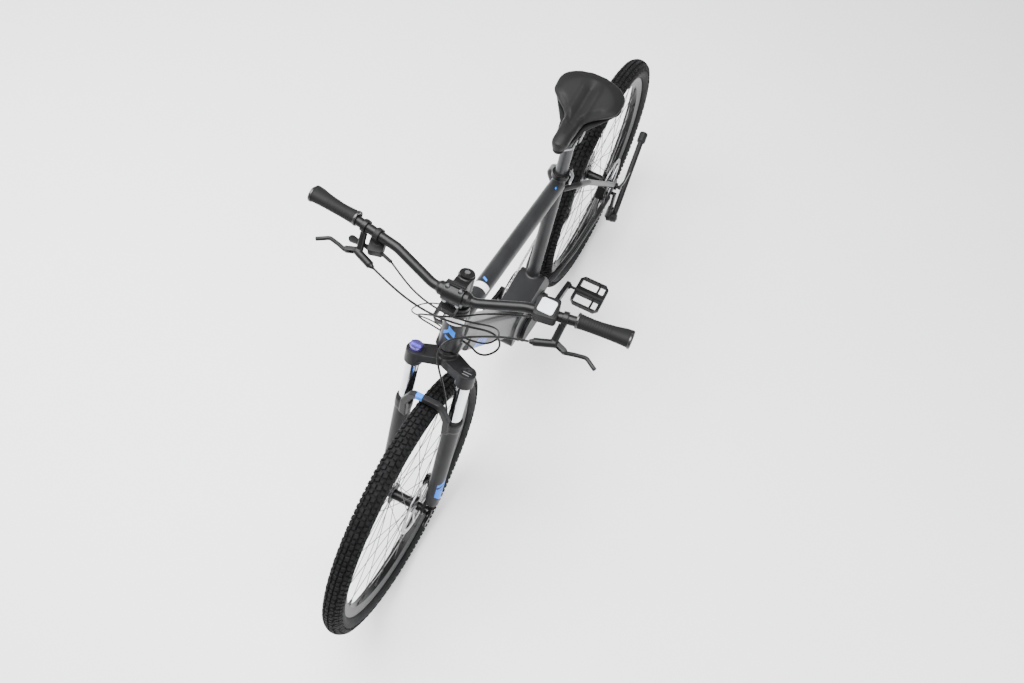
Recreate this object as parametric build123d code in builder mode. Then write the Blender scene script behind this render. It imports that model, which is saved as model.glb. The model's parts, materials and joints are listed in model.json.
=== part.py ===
"""Electric hardtail mountain bike, built as separate working pieces in millimetres.

+X points forwards, +Y to the rider's left and +Z up. The origin is on the ground, midway between the
axles. Steered parts are placed by at(ahead, side, up): along, across and up the leaning steering axis.
"""
import math
import os

from build123d import *

os.makedirs("parts", exist_ok=True)

# ------------------------------------------------------------------ driving dimensions
wheel_radius = 368.0          # over the tread of a 29 inch tyre
wheelbase = 1158.0
tyre_half_width = 28.0
bead_radius = 311.0           # the rim's bead seat
rim_half_width = 14.0
rim_depth = 18.0
spoke_count = 32
spoke_radius = 0.9
rotor_radius = 80.0
rotor_half_thickness = 0.9

steering_angle = 68.0         # from the ground
fork_offset = 44.0            # front axle ahead of the steering axis
leg_offset = 31.0             # stanchions ahead of the steering axis
leg_spread = 65.0             # stanchion centre to the mid-plane
stanchion_radius = 16.0
lower_top_radius = 21.0
lower_foot_radius = 18.5
fork_travel = 80.0
seal_height = 330.0           # top of the lowers, up the steering axis from the axle
crown_height = 452.0          # underside of the crown sockets
crown_top = 500.0
head_tube_bottom = 512.0
head_tube_top = 630.0
head_tube_radius = 26.0
steerer_radius = 14.3
stem_bottom = 678.0
stem_height = 40.0
stem_reach = 55.0
bar_clamp_height = 703.0
bar_clamp_radius = 15.9
bar_radius = 11.1
grip_end = 374.0
grip_length = 116.0

bottom_bracket = Vector(-113, 0, 308)
chainring_teeth = 36
cogs = (12, 14, 16, 18, 21, 24, 28, 32, 36)
cog_in_use = 3                # counted from the smallest
cog_step = 4.0
jockey_teeth = 11
chain_pitch = 12.7
roller_radius = 3.6
crank_length = 170.0
crank_angle = 203.6           # of the left arm, from +X towards +Z
pedal_middle = 147.0
seat_tube_angle = 73.3
seat_tube_foot = Vector(-143, 0, 385)
seat_tube_length = 397.0
seat_tube_radius = 18.0
post_radius = 15.8
saddle_top = 950.0
saddle_length = 262.0
saddle_half_width = 96.0
top_tube_radius = 21.0
down_tube_half_width = 30.0
down_tube_half_depth = 38.0
motor_half_width = 46.0

running_gap = 0.05            # radial, in anything that turns or slides
face_gap = 0.3                # between faces that pass each other
sides = (1, -1)               # left and right

# ------------------------------------------------------------------ places worked out from those
rear_axle = Vector(-wheelbase / 2, 0, wheel_radius)
front_axle = Vector(wheelbase / 2, 0, wheel_radius)
lean = math.radians(steering_angle)
up_axis = Vector(-math.cos(lean), 0, math.sin(lean))
ahead_axis = Vector(math.sin(lean), 0, math.cos(lean))
steering_foot = front_axle - ahead_axis * fork_offset
steer = Plane(origin=steering_foot, x_dir=ahead_axis, z_dir=up_axis)


def at(ahead, side, up):
    """The point so far ahead of the steering axis, to the left and up along it."""
    return steering_foot + ahead_axis * ahead + Vector(0, side, 0) + up_axis * up


# ------------------------------------------------------------------ shapes used again and again
def rod(a, b, radius, mode=Mode.ADD):
    """A round bar from a to b."""
    a, b = Vector(a), Vector(b)
    with BuildSketch(Plane(a, z_dir=b - a)) as section:
        Circle(radius)
    extrude(section.sketch, amount=(b - a).length, mode=mode)


def bore(a, b, radius):
    """A round hole from a to b."""
    rod(a, b, radius, Mode.SUBTRACT)


def cone(a, b, radius_a, radius_b, mode=Mode.ADD):
    """A round bar that tapers from a to b."""
    a, b = Vector(a), Vector(b)
    with BuildSketch(Plane(a, z_dir=b - a)) as first:
        Circle(radius_a)
    with BuildSketch(Plane(b, z_dir=b - a)) as last:
        Circle(radius_b)
    loft([first.sketch, last.sketch], mode=mode)


def ring(a, b, outer, inner):
    """A sleeve from a to b."""
    rod(a, b, outer)
    bore(a, b, inner)


def corner_radii(points):
    """For each corner, 0.45 of its shorter run over the tangent of half its turn."""
    radii = []
    for before, here, after in zip(points, points[1:], points[2:]):
        turn = math.radians((here - before).get_angle(after - here))
        radii.append(0.45 * min((here - before).length, (after - here).length) / math.tan(turn / 2))
    return radii


def bent_bar(points, radii, radius, mode=Mode.ADD):
    """A round bar along straight runs joined by arcs."""
    with BuildLine() as path:
        FilletPolyline(*points, radius=radii)
    with BuildSketch(Plane(path.line @ 0, z_dir=path.line % 0)) as section:
        Circle(radius)
    sweep(section.sketch, path=path.line, mode=mode)


def hose(points, radius):
    """A hose along points, with the largest arcs that its runs allow, and its radii printed."""
    points = [Vector(p) for p in points]
    radii = corner_radii(points)
    print("hose radii", [round(r) for r in radii])
    bent_bar(points, radii, radius)


def hull_plate(plane, circles, thickness, mode=Mode.ADD, both=False):
    """A plate whose outline is stretched round circles, each ((x, y), radius) on the plane."""
    with BuildSketch(plane) as outline:
        for centre, radius in circles:
            with Locations(centre):
                Circle(radius)
        make_hull()
    extrude(outline.sketch, amount=thickness, both=both, mode=mode)


def block(plane, length, width, height, mode=Mode.ADD, corner=0.0):
    """A bar with a rectangular section on the plane, as high as given, on both sides of it."""
    with BuildSketch(plane) as section:
        if corner:
            RectangleRounded(length, width, corner)
        else:
            Rectangle(length, width)
    extrude(section.sketch, amount=height / 2, both=True, mode=mode)


def save(builder, name):
    """Labels a finished piece and writes it to its own file."""
    builder.part.label = name
    export_step(builder.part, f"parts/{name}.step")


side_view = Plane(origin=(0, 0, 0), x_dir=(1, 0, 0), z_dir=(0, -1, 0))   # local x forwards, y up


# ------------------------------------------------------------------ wheels
def across(axle, y):
    """The point on a wheel's axle line at that width."""
    return axle + Vector(0, y, 0)


def radial_plane(axle):
    """The plane through an axle with its width along x and its radius along y."""
    return Plane(origin=axle, x_dir=(0, 1, 0), z_dir=(1, 0, 0))


def save_wheel(name, axle, half_width, axle_radius, left_flange, right_flange, rotor_y, cassette_room):
    """Writes a wheel's tyre, rim, spokes, hub and rotor, with the cassette's room at the hub's right."""
    axis = Axis(axle, (0, 1, 0))
    bead = rim_half_width - 2.8
    shoulder = tyre_half_width - 7
    wall = 3.0
    with BuildPart() as tyre:
        with BuildSketch(radial_plane(axle)):
            with BuildLine():
                Polyline((bead, bead_radius + 7.5), (bead, bead_radius + 0.4),
                         (bead - wall, bead_radius + 0.4), (bead - wall, bead_radius + 8.5))
                ThreePointArc((bead - wall, bead_radius + 8.5), (tyre_half_width - wall - 0.6, 340),
                              (shoulder - 2, wheel_radius - 14))
                ThreePointArc((shoulder - 2, wheel_radius - 14), (0, wheel_radius - 6),
                              (2 - shoulder, wheel_radius - 14))
                ThreePointArc((2 - shoulder, wheel_radius - 14), (0.6 + wall - tyre_half_width, 340),
                              (wall - bead, bead_radius + 8.5))
                Polyline((wall - bead, bead_radius + 8.5), (wall - bead, bead_radius + 0.4),
                         (-bead, bead_radius + 0.4), (-bead, bead_radius + 7.5))
                ThreePointArc((-bead, bead_radius + 7.5), (-tyre_half_width, 342),
                              (-shoulder, wheel_radius - 8))
                ThreePointArc((-shoulder, wheel_radius - 8), (0, wheel_radius),
                              (shoulder, wheel_radius - 8))
                ThreePointArc((shoulder, wheel_radius - 8), (tyre_half_width, 342),
                              (bead, bead_radius + 7.5))
            make_face()
        revolve(axis=axis)
    save(tyre, f"{name}_tyre")

    rim_inner = bead_radius - rim_depth
    with BuildPart() as rim:
        with BuildSketch(radial_plane(axle)):
            with BuildLine():
                Polyline((rim_half_width, bead_radius + 1), (rim_half_width, bead_radius + 6.5),
                         (rim_half_width - 2.3, bead_radius + 6.5), (rim_half_width - 2.3, bead_radius),
                         (rim_half_width - 5.5, bead_radius), (4, rim_inner + 3), (-4, rim_inner + 3),
                         (5.5 - rim_half_width, bead_radius), (2.3 - rim_half_width, bead_radius),
                         (2.3 - rim_half_width, bead_radius + 6.5), (-rim_half_width, bead_radius + 6.5),
                         (-rim_half_width, bead_radius + 1), (-8, rim_inner), (8, rim_inner), close=True)
            make_face()
        revolve(axis=axis)
    save(rim, f"{name}_rim")

    flange_radius = 29.0
    flange_half = 1.2
    with BuildPart() as spokes:
        for number in range(spoke_count):
            flange = left_flange if number % 2 else right_flange
            direction = 1 if number % 4 < 2 else -1
            rim_angle = math.radians(360 / spoke_count * (number + 0.5))
            hub_angle = rim_angle + direction * math.radians(65)
            hub_y = flange + direction * (flange_half + spoke_radius + 1.0)
            rim_y = 3.0 if number % 2 else -3.0

            def on_wheel(radius, angle, y):
                return axle + Vector(radius * math.cos(angle), y, radius * math.sin(angle))

            foot = on_wheel(flange_radius - 2, hub_angle, hub_y)
            tip = on_wheel(rim_inner - face_gap, rim_angle, rim_y)
            nipple = foot + (tip - foot) * (1 - 13 / (tip - foot).length)
            rod(foot, tip, spoke_radius)
            rod(nipple, tip, 2.0)
    save(spokes, f"{name}_spokes")

    rotor_face = rotor_y - rotor_half_thickness
    right_end = -half_width + cassette_room + 4
    with BuildPart() as hub:
        rod(across(axle, right_end), across(axle, left_flange + 2), 13.5)
        for flange in (left_flange, right_flange):
            rod(across(axle, flange - flange_half), across(axle, flange + flange_half), flange_radius)
        rod(across(axle, left_flange), across(axle, rotor_face), 22)
        rod(across(axle, rotor_face), across(axle, half_width - 4), 11)
        bore(across(axle, -half_width), across(axle, half_width), axle_radius + running_gap)
    save(hub, f"{name}_hub")

    with BuildPart() as rotor:
        flat = Plane(origin=across(axle, rotor_y), x_dir=(1, 0, 0), z_dir=(0, 1, 0))
        with BuildSketch(flat):
            Circle(rotor_radius)
            Circle(rotor_radius - 14, mode=Mode.SUBTRACT)
            Circle(23)
            with PolarLocations(0, 6):
                with Locations(Location((44, 0), 24)):
                    Rectangle(56, 7)
            Circle(11.2, mode=Mode.SUBTRACT)
            with PolarLocations(rotor_radius - 7, 36):
                SlotOverall(7, 3, rotation=35, mode=Mode.SUBTRACT)
        extrude(amount=rotor_half_thickness, both=True)
        with Locations(flat.offset(rotor_half_thickness)):
            with PolarLocations(18, 6):
                Cylinder(3.2, 2, align=(Align.CENTER, Align.CENTER, Align.MIN))
    save(rotor, f"{name}_rotor")


front_half, rear_half = 50.0, 67.5        # half the width over each hub's locknuts
axle_radius = 5.0
front_rotor_y = front_half - 15.3
rear_rotor_y = rear_half - 15.3
save_wheel("front", front_axle, front_half, axle_radius, 22, -34, front_rotor_y, 0)
save_wheel("rear", rear_axle, rear_half, axle_radius, 34, -19, rear_rotor_y, 41)


# ------------------------------------------------------------------ sprockets, chain and cranks
def pitch_radius(teeth):
    return chain_pitch / 2 / math.sin(math.pi / teeth)


def sprocket(plane, teeth, thickness, bore, phase):
    """A toothed disc: a blank with a roller gap between each pair of teeth, the first at the phase."""
    pitch = pitch_radius(teeth)
    with BuildSketch(plane) as disc:
        Circle(pitch + 3.0)
        with PolarLocations(pitch, teeth, start_angle=phase):
            Circle(roller_radius + 1.0, mode=Mode.SUBTRACT)
        with PolarLocations(pitch + 4, teeth, start_angle=phase):
            Circle(roller_radius + 2.0, mode=Mode.SUBTRACT)
        Circle(bore, mode=Mode.SUBTRACT)
    extrude(disc.sketch, amount=thickness / 2, both=True)


first_cog_y = -(rear_half - 6.5)
chain_line = -(first_cog_y + cog_step * cog_in_use)


class Wheel:
    """A toothed wheel on the chain's path: turning is 1 anticlockwise and -1 clockwise from the right."""

    def __init__(self, centre, teeth, turning):
        self.centre, self.teeth, self.turning = centre, teeth, turning
        self.radius = pitch_radius(teeth)

    def point(self, angle):
        """The pitch circle's point at an angle from +X, as (x, z)."""
        return Vector(self.centre.X + self.radius * math.cos(angle),
                      self.centre.Z + self.radius * math.sin(angle))


def tangent_angle(first, last):
    """The way that the chain runs from one wheel to the next."""
    span = Vector(last.centre.X - first.centre.X, last.centre.Z - first.centre.Z)
    step = last.turning * last.radius - first.turning * first.radius
    return math.atan2(span.Y, span.X) - math.asin(step / span.length)


def chain_course(wheels):
    """For each wheel: the angles at which the chain meets and leaves it, and the run that follows."""
    ways = [tangent_angle(a, b) for a, b in zip(wheels, wheels[1:] + wheels[:1])]
    course = []
    for index, wheel in enumerate(wheels):
        meets = ways[index - 1] - wheel.turning * math.pi / 2
        leaves = ways[index] - wheel.turning * math.pi / 2
        wrap = (wheel.turning * (leaves - meets)) % (2 * math.pi)
        after = wheels[(index + 1) % len(wheels)]
        run = (after.point(ways[index] - after.turning * math.pi / 2) - wheel.point(leaves)).length
        course.append((wheel, meets, wrap, ways[index], run))
    return course


def links_round(wheels):
    """The chain's length in links, wheels counted by their teeth."""
    return sum(wrap * wheel.teeth / (2 * math.pi) + run / chain_pitch
               for wheel, meets, wrap, way, run in chain_course(wheels))


cog_wheel = Wheel(rear_axle, cogs[cog_in_use], -1)
ring_wheel = Wheel(bottom_bracket, chainring_teeth, -1)
guide_wheel = Wheel(rear_axle + Vector(17, 0, -112), jockey_teeth, 1)
cage_length = 90.0


def wheels_with_cage(swing):
    """The four wheels with the cage swung so far forwards from straight down."""
    way = Vector(math.sin(swing), 0, -math.cos(swing))
    tension = Wheel(guide_wheel.centre + way * cage_length, jockey_teeth, -1)
    return [ring_wheel, tension, guide_wheel, cog_wheel]


low_swing, high_swing = 0.1, 0.5
whole_links = math.floor(links_round(wheels_with_cage(low_swing)))
for halving in range(40):
    middle_swing = (low_swing + high_swing) / 2
    if links_round(wheels_with_cage(middle_swing)) > whole_links:
        low_swing = middle_swing
    else:
        high_swing = middle_swing
chain_wheels = wheels_with_cage(low_swing)
tension_wheel = chain_wheels[1]
rollers, phases = [], []
travelled = 0.0                           # in links, from where the chain meets the chainring
for wheel, meets, wrap, way, run in chain_course(chain_wheels):
    tooth = 2 * math.pi / wheel.teeth
    first = math.ceil(travelled) - travelled
    phases.append(math.degrees(meets + wheel.turning * first * tooth))
    while first <= wrap / tooth:
        rollers.append(wheel.point(meets + wheel.turning * first * tooth))
        first += 1
    travelled += wrap / tooth
    start = wheel.point(meets + wheel.turning * wrap)
    first = math.ceil(travelled) - travelled
    while first * chain_pitch <= run:
        rollers.append(start + Vector(math.cos(way), math.sin(way)) * first * chain_pitch)
        first += 1
    travelled += run / chain_pitch
ring_phase, tension_phase, guide_phase, cog_phase = phases
chain_plane = Plane(origin=(0, -chain_line, 0), x_dir=(1, 0, 0), z_dir=(0, -1, 0))


def on_chain(point):
    """The place in the chain's plane of a point given as (x, z)."""
    return Vector(point.X, -chain_line, point.Y)


with BuildPart() as chain:
    with BuildLine() as loop:
        for wheel, meets, wrap, way, run in chain_course(chain_wheels):
            half, leaves = meets + wheel.turning * wrap / 2, meets + wheel.turning * wrap
            ThreePointArc(on_chain(wheel.point(meets)), on_chain(wheel.point(half)),
                          on_chain(wheel.point(leaves)))
            start = wheel.point(leaves)
            Line(on_chain(start), on_chain(start + Vector(math.cos(way), math.sin(way)) * run))
    course = loop.wires()[0]
    for side in sides:
        with BuildSketch(Plane(course @ 0, x_dir=(0, 1, 0), z_dir=course % 0)) as plate:
            with Locations((side * 1.75, 0)):
                Rectangle(0.9, 2 * roller_radius + 0.6)
        sweep(plate.sketch, path=course)
    with BuildSketch(chain_plane) as pins:
        with Locations(*[(p.X, p.Y) for p in rollers]):
            Circle(roller_radius)
    extrude(pins.sketch, amount=1.6, both=True)
save(chain, "chain")

with BuildPart() as cassette:
    for index, teeth in enumerate(cogs):
        flat = Plane(origin=across(rear_axle, first_cog_y + cog_step * index), z_dir=(0, -1, 0), x_dir=(1, 0, 0))
        sprocket(flat, teeth, 1.8, 15, cog_phase)
    rod(across(rear_axle, first_cog_y - 2), across(rear_axle, -rear_half + 41), 17)
    rod(across(rear_axle, first_cog_y - 3), across(rear_axle, -rear_half + 42), axle_radius + running_gap,
        Mode.SUBTRACT)
save(cassette, "cassette")

turn = math.radians(crank_angle)
crank_way = Vector(math.cos(turn), 0, math.sin(turn))
spindle_half = 69.0
arm_y = 75.0
left_pedal_axle = bottom_bracket + crank_way * crank_length
right_pedal_axle = bottom_bracket - crank_way * crank_length
pedal_ends = {"left": (left_pedal_axle, 1), "right": (right_pedal_axle, -1)}
pedal_axle_radius = 4.0
with BuildPart() as cranks:
    rod(bottom_bracket - Vector(0, spindle_half, 0), bottom_bracket + Vector(0, spindle_half, 0), 11)
    for end, way in pedal_ends.values():
        inner = bottom_bracket + Vector(0, way * 62, 0)
        rod(inner, inner + Vector(0, way * 19, 0), 18)
        arm_plane = Plane(origin=bottom_bracket + Vector(0, way * arm_y, 0), x_dir=end - bottom_bracket,
                          z_dir=(0, 1, 0))
        hull_plate(arm_plane, [((0, 0), 16), ((crank_length, 0), 12)], 6, both=True)
        inside = end + Vector(0, way * (arm_y + 6), 0)
        rod(inside, inside + Vector(0, way * 5, 0), 8)
        rod(inside, end + Vector(0, way * (pedal_middle + 44), 0), pedal_axle_radius)
save(cranks, "crank_arms")

ring_plane = Plane(origin=bottom_bracket - Vector(0, chain_line, 0), x_dir=(1, 0, 0), z_dir=(0, -1, 0))
with BuildPart() as chainring:
    sprocket(ring_plane, chainring_teeth, 1.8, 50, ring_phase)
    with BuildSketch(ring_plane) as spider:
        Circle(24)
        with PolarLocations(0, 4, start_angle=45):
            with Locations((32, 0)):
                Rectangle(44, 15)
        Circle(11.05, mode=Mode.SUBTRACT)
    extrude(spider.sketch, amount=2.2, both=True)
    guard_plane = ring_plane.offset(4.8)
    with BuildSketch(guard_plane) as guard:
        Circle(pitch_radius(chainring_teeth) + 9)
        Circle(58, mode=Mode.SUBTRACT)
    extrude(guard.sketch, amount=1.0, both=True)
    for quarter in range(4):
        angle = math.radians(45 + 90 * quarter)
        foot = bottom_bracket + Vector(60 * math.cos(angle), -chain_line - 6, 60 * math.sin(angle))
        rod(foot, foot + Vector(0, 7, 0), 4)
save(chainring, "chainring")

pedal_half = 46.0
for name, (end, way) in pedal_ends.items():
    middle = end + Vector(0, way * pedal_middle, 0)
    with BuildPart() as pedal:
        deck = Plane(origin=middle, x_dir=(1, 0, 0), z_dir=(0, 0, 1))
        with BuildSketch(deck):
            Rectangle(100, 2 * pedal_half)
            chamfer(vertices(), 12)
            with Locations((28, 0), (-28, 0)):
                Rectangle(32, 2 * pedal_half - 18, mode=Mode.SUBTRACT)
        extrude(amount=8, both=True)
        with BuildSketch(deck):
            with Locations((28, way * 18), (-28, way * 18)):
                Rectangle(32, 6)
        extrude(amount=5, both=True)
        rod(middle - Vector(0, way * pedal_half, 0), middle + Vector(0, way * pedal_half, 0), 10.5)
        rod(middle - Vector(0, way * (pedal_half + 1), 0), middle + Vector(0, way * (pedal_half - 1.5), 0),
            pedal_axle_radius + running_gap, Mode.SUBTRACT)
    save(pedal, f"{name}_pedal")

for name, wheel, phase in (("upper", guide_wheel, guide_phase), ("lower", tension_wheel, tension_phase)):
    flat = Plane(origin=wheel.centre - Vector(0, chain_line, 0), x_dir=(1, 0, 0), z_dir=(0, -1, 0))
    with BuildPart() as jockey:
        sprocket(flat, jockey_teeth, 1.8, 2.5 + running_gap, phase)
        with BuildSketch(flat) as boss:
            Circle(9)
            Circle(2.5 + running_gap, mode=Mode.SUBTRACT)
        extrude(boss.sketch, amount=3.0, both=True)
    save(jockey, f"{name}_jockey_wheel")

# ------------------------------------------------------------------ frame
seat_lean = math.radians(seat_tube_angle)
seat = Plane(origin=seat_tube_foot, x_dir=(math.sin(seat_lean), 0, math.cos(seat_lean)),
             z_dir=(-math.cos(seat_lean), 0, math.sin(seat_lean)))


def on_seat(ahead, side, up):
    """The point so far ahead of the seat tube's axis, to the left and up along it."""
    return seat.from_local_coords(Vector(ahead, side, up))


seat_tube_top = on_seat(0, 0, seat_tube_length)
top_tube_front = at(0, 0, head_tube_top - 58)
down_tube_front = at(0, 0, head_tube_bottom + 30)
port_height = head_tube_bottom + 34       # where the cables enter, beside the head tube
rear_hose_start = Vector(-192, 32, 345)
rear_cable_start = Vector(-187, -32, 314)
down_tube_foot = Vector(-5, 0, 372)
down_way = (down_tube_foot - down_tube_front).normalized()
down_length = (down_tube_foot - down_tube_front).length
motor_circles = [((bottom_bracket.X, bottom_bracket.Z), 58), ((-35, 322), 44)]
cradle_circles = [((-143, 394), 26), ((0, 400), 34), ((28, 352), 22), ((-184, 330), 18)]
cradle_half_width = 38.0
tube_wall = 6.0
bay_start, bay_end = 100.0, 505.0          # the battery bay, along the down tube
bay_half_width = down_tube_half_width - tube_wall


def down_tube_plane(along):
    """Across the down tube so far from its front end: x to the left, y towards its underside."""
    return Plane(origin=down_tube_front + down_way * along, x_dir=(0, 1, 0), z_dir=down_way)


with BuildPart() as main_frame:
    rod(at(0, 0, head_tube_bottom), at(0, 0, head_tube_top), head_tube_radius)
    rod(seat_tube_foot, seat_tube_top, seat_tube_radius)
    rod(on_seat(0, 0, seat_tube_length - 41), top_tube_front, top_tube_radius)
    with BuildSketch(down_tube_plane(0)) as section:
        RectangleRounded(2 * down_tube_half_width, 2 * down_tube_half_depth, 14)
    extrude(section.sketch, amount=down_length)
    hull_plate(side_view, cradle_circles, cradle_half_width, both=True)
    with BuildSketch(down_tube_plane(bay_start)) as bay:
        with Locations((0, 20)):
            Rectangle(2 * bay_half_width, 2 * down_tube_half_depth + 28)
    extrude(bay.sketch, amount=bay_end - bay_start, mode=Mode.SUBTRACT)
    for side in sides:
        port = at(0, side * (head_tube_radius - 6), port_height)
        rod(port, port + Vector(0, side * 9, 0), 8)
    bore(at(0, 0, crown_height - 30), at(0, 0, head_tube_bottom), 60)
    for start in (rear_hose_start, rear_cable_start):
        bore(start, start - Vector(20, 0, 0), 3.2)
    hull_plate(side_view, [(centre, radius + 0.5) for centre, radius in motor_circles], 70, Mode.SUBTRACT, True)
    bore(on_seat(0, 0, 8), on_seat(0, 0, seat_tube_length + 1), post_radius + running_gap)
    bore(at(0, 0, head_tube_bottom - 1), at(0, 0, head_tube_top + 1), head_tube_radius - 4)
    bore(on_seat(0, 0, seat_tube_length - 41), top_tube_front, top_tube_radius - 2.5)
    with BuildSketch(seat.offset(seat_tube_length - 20)) as slit:
        with Locations((-seat_tube_radius, 0)):
            Rectangle(10, 3)
    extrude(slit.sketch, amount=30, mode=Mode.SUBTRACT)
save(main_frame, "main_frame")

dropout_inner, dropout_outer = rear_half, rear_half + 6
caliper_outer = 63.2                       # the rear caliper's outer face
stay_radius = 8.5
eyelet = rear_axle + Vector(10, 0, 13.5)    # of each rack eyelet, in the dropout plates
eyelet_radius = 2.6                        # clears an M5 bolt
with BuildPart() as rear_triangle:
    for side in sides:
        bent_bar([Vector(-192, side * 29, 327), Vector(-222, side * 40, 328), Vector(-330, side * 57, 342),
                  Vector(-536, side * 71, 364)], [14, 60], stay_radius)
        stay_top = on_seat(-seat_tube_radius + 4, side * 11, seat_tube_length - 62)
        bent_bar([stay_top, Vector(-290, side * 42, 696), Vector(-345, side * 53, 650),
                  Vector(-560, side * 71, 396)], [30, 40], stay_radius - 0.5)
        plate = Plane(origin=(0, side * (dropout_inner + dropout_outer) / 2, 0), x_dir=(1, 0, 0),
                      z_dir=(0, -1, 0))
        thickness = (dropout_outer - dropout_inner) / 2
        hull_plate(plate, [((rear_axle.X, wheel_radius), 19), ((-538, 364), 9)], thickness, both=True)
        hull_plate(plate, [((rear_axle.X, wheel_radius), 19), ((-560, 396), 9)], thickness, both=True)
    hull_plate(Plane(origin=(0, -(dropout_inner + 3), 0), x_dir=(1, 0, 0), z_dir=(0, -1, 0)),
               [((rear_axle.X, wheel_radius), 16), ((-575, 336), 11)], 3, both=True)
    caliper_tab = Plane(origin=(0, caliper_outer + face_gap, 0), x_dir=(1, 0, 0), z_dir=(0, -1, 0))
    hull_plate(caliper_tab, [((-532, 364), 6), ((-527, 390), 6)], -6)
    hull_plate(caliper_tab, [((-504, 362), 6), ((-503, 390), 6)], -6)
    bore(across(rear_axle, -90), across(rear_axle, 90), axle_radius + running_gap)
    bore((-575, -90, 336), (-575, 90, 336), 4.05)
    bore(eyelet - Vector(0, 90, 0), eyelet + Vector(0, 90, 0), eyelet_radius)
    bore(seat_tube_foot, seat_tube_top, seat_tube_radius)
    hull_plate(side_view, cradle_circles, cradle_half_width + 2, Mode.SUBTRACT, True)
save(rear_triangle, "rear_triangle")

with BuildPart() as motor:
    hull_plate(side_view, motor_circles, 40, both=True)
    for fin in range(6):
        slot_plane = Plane(origin=(24, 12 * fin - 30, 322), x_dir=(1, 0, 0), z_dir=(0, 1, 0))
        block(slot_plane, 34, 60, 5, Mode.SUBTRACT)
    bore(bottom_bracket - Vector(0, 60, 0), bottom_bracket + Vector(0, 60, 0), 11 + running_gap)
save(motor, "motor")

with BuildPart() as motor_covers:
    for near, far in ((40.3, 52), (-45, -40.3)):
        cover_plane = Plane(origin=(0, near, 0), x_dir=(1, 0, 0), z_dir=(0, 1, 0))
        with BuildSketch(cover_plane) as outline:
            for (x, z), radius in motor_circles:
                with Locations((x, -z)):
                    Circle(radius - 4)
            make_hull()
            with Locations((bottom_bracket.X, -bottom_bracket.Z)):
                Circle(14, mode=Mode.SUBTRACT)
        extrude(outline.sketch, amount=far - near)
save(motor_covers, "motor_covers")

battery_gap = 1.0
with BuildPart() as battery:
    with BuildSketch(down_tube_plane(bay_start + battery_gap)) as section:
        with Locations((0, 3.5)):
            RectangleRounded(2 * (bay_half_width - battery_gap), 2 * down_tube_half_depth - 9, 8)
    extrude(section.sketch, amount=bay_end - bay_start - 2 * battery_gap)
save(battery, "battery")

steerer_bore = steerer_radius + running_gap
with BuildPart() as headset_cups:
    ring(at(0, 0, crown_top + 6), at(0, 0, head_tube_bottom), head_tube_radius + 1, steerer_bore)
    ring(at(0, 0, head_tube_bottom), at(0, 0, head_tube_bottom + 12), head_tube_radius - 4,
         steerer_radius + running_gap)
    ring(at(0, 0, head_tube_top - 12), at(0, 0, head_tube_top), head_tube_radius - 4, steerer_bore)
    ring(at(0, 0, head_tube_top), at(0, 0, head_tube_top + 7), head_tube_radius - 2, steerer_bore)
save(headset_cups, "headset_cups")

collar_foot = seat_tube_length - 16
pin_ahead = -(seat_tube_radius + 13)
with BuildPart() as seat_collar:
    rod(on_seat(0, 0, collar_foot), on_seat(0, 0, collar_foot + 15), seat_tube_radius + 5)
    with BuildSketch(seat.offset(collar_foot)) as ears:
        with Locations((pin_ahead + 6, 0)):
            Rectangle(26, 18)
    extrude(ears.sketch, amount=15)
    with BuildSketch(seat.offset(collar_foot)) as slit:
        with Locations((pin_ahead, 0)):
            Rectangle(34, 3)
    extrude(slit.sketch, amount=15, mode=Mode.SUBTRACT)
    bore(on_seat(0, 0, collar_foot - 1), on_seat(0, 0, collar_foot + 16), seat_tube_radius)
    middle = collar_foot + 7.5
    rod(on_seat(pin_ahead, -24, middle), on_seat(pin_ahead, 10.2, middle), 2.5)
    rod(on_seat(pin_ahead, -17, middle), on_seat(pin_ahead, -9.3, middle), 6.5)
    for up in (middle - 6.5, middle + 6.5):
        hull_plate(seat.offset(up), [((pin_ahead, 11.5), 2.3), ((pin_ahead, 16), 4)], 1.3, both=True)
    rod(on_seat(pin_ahead, 16, middle - 7), on_seat(pin_ahead, 16, middle + 7), 2)
save(seat_collar, "seat_collar")


def lever(eye, along, pin_way, pin_length, reach, bow, name):
    """A quick-release lever: an eye on its pin and a blade that bows outwards, with a swollen end."""
    blade = Plane(origin=eye, x_dir=along, z_dir=pin_way)
    with BuildPart() as made:
        rod(eye - pin_way * pin_length / 2, eye + pin_way * pin_length / 2, 5.5)
        hull_plate(blade, [((1, 0), 4.0), ((reach * 0.45, bow), 2.4)], pin_length * 0.5, both=True)
        hull_plate(blade, [((reach * 0.45, bow), 2.4), ((reach, bow + 2), 3.0)], pin_length * 0.5, both=True)
        bore(eye - pin_way * pin_length, eye + pin_way * pin_length, 2 + running_gap)
    save(made, name)


seat_pin = on_seat(pin_ahead, 16, middle)
lever(seat_pin, seat.x_dir, seat.z_dir, 9.6, 48, 15, "seat_quick_release_lever")

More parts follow.
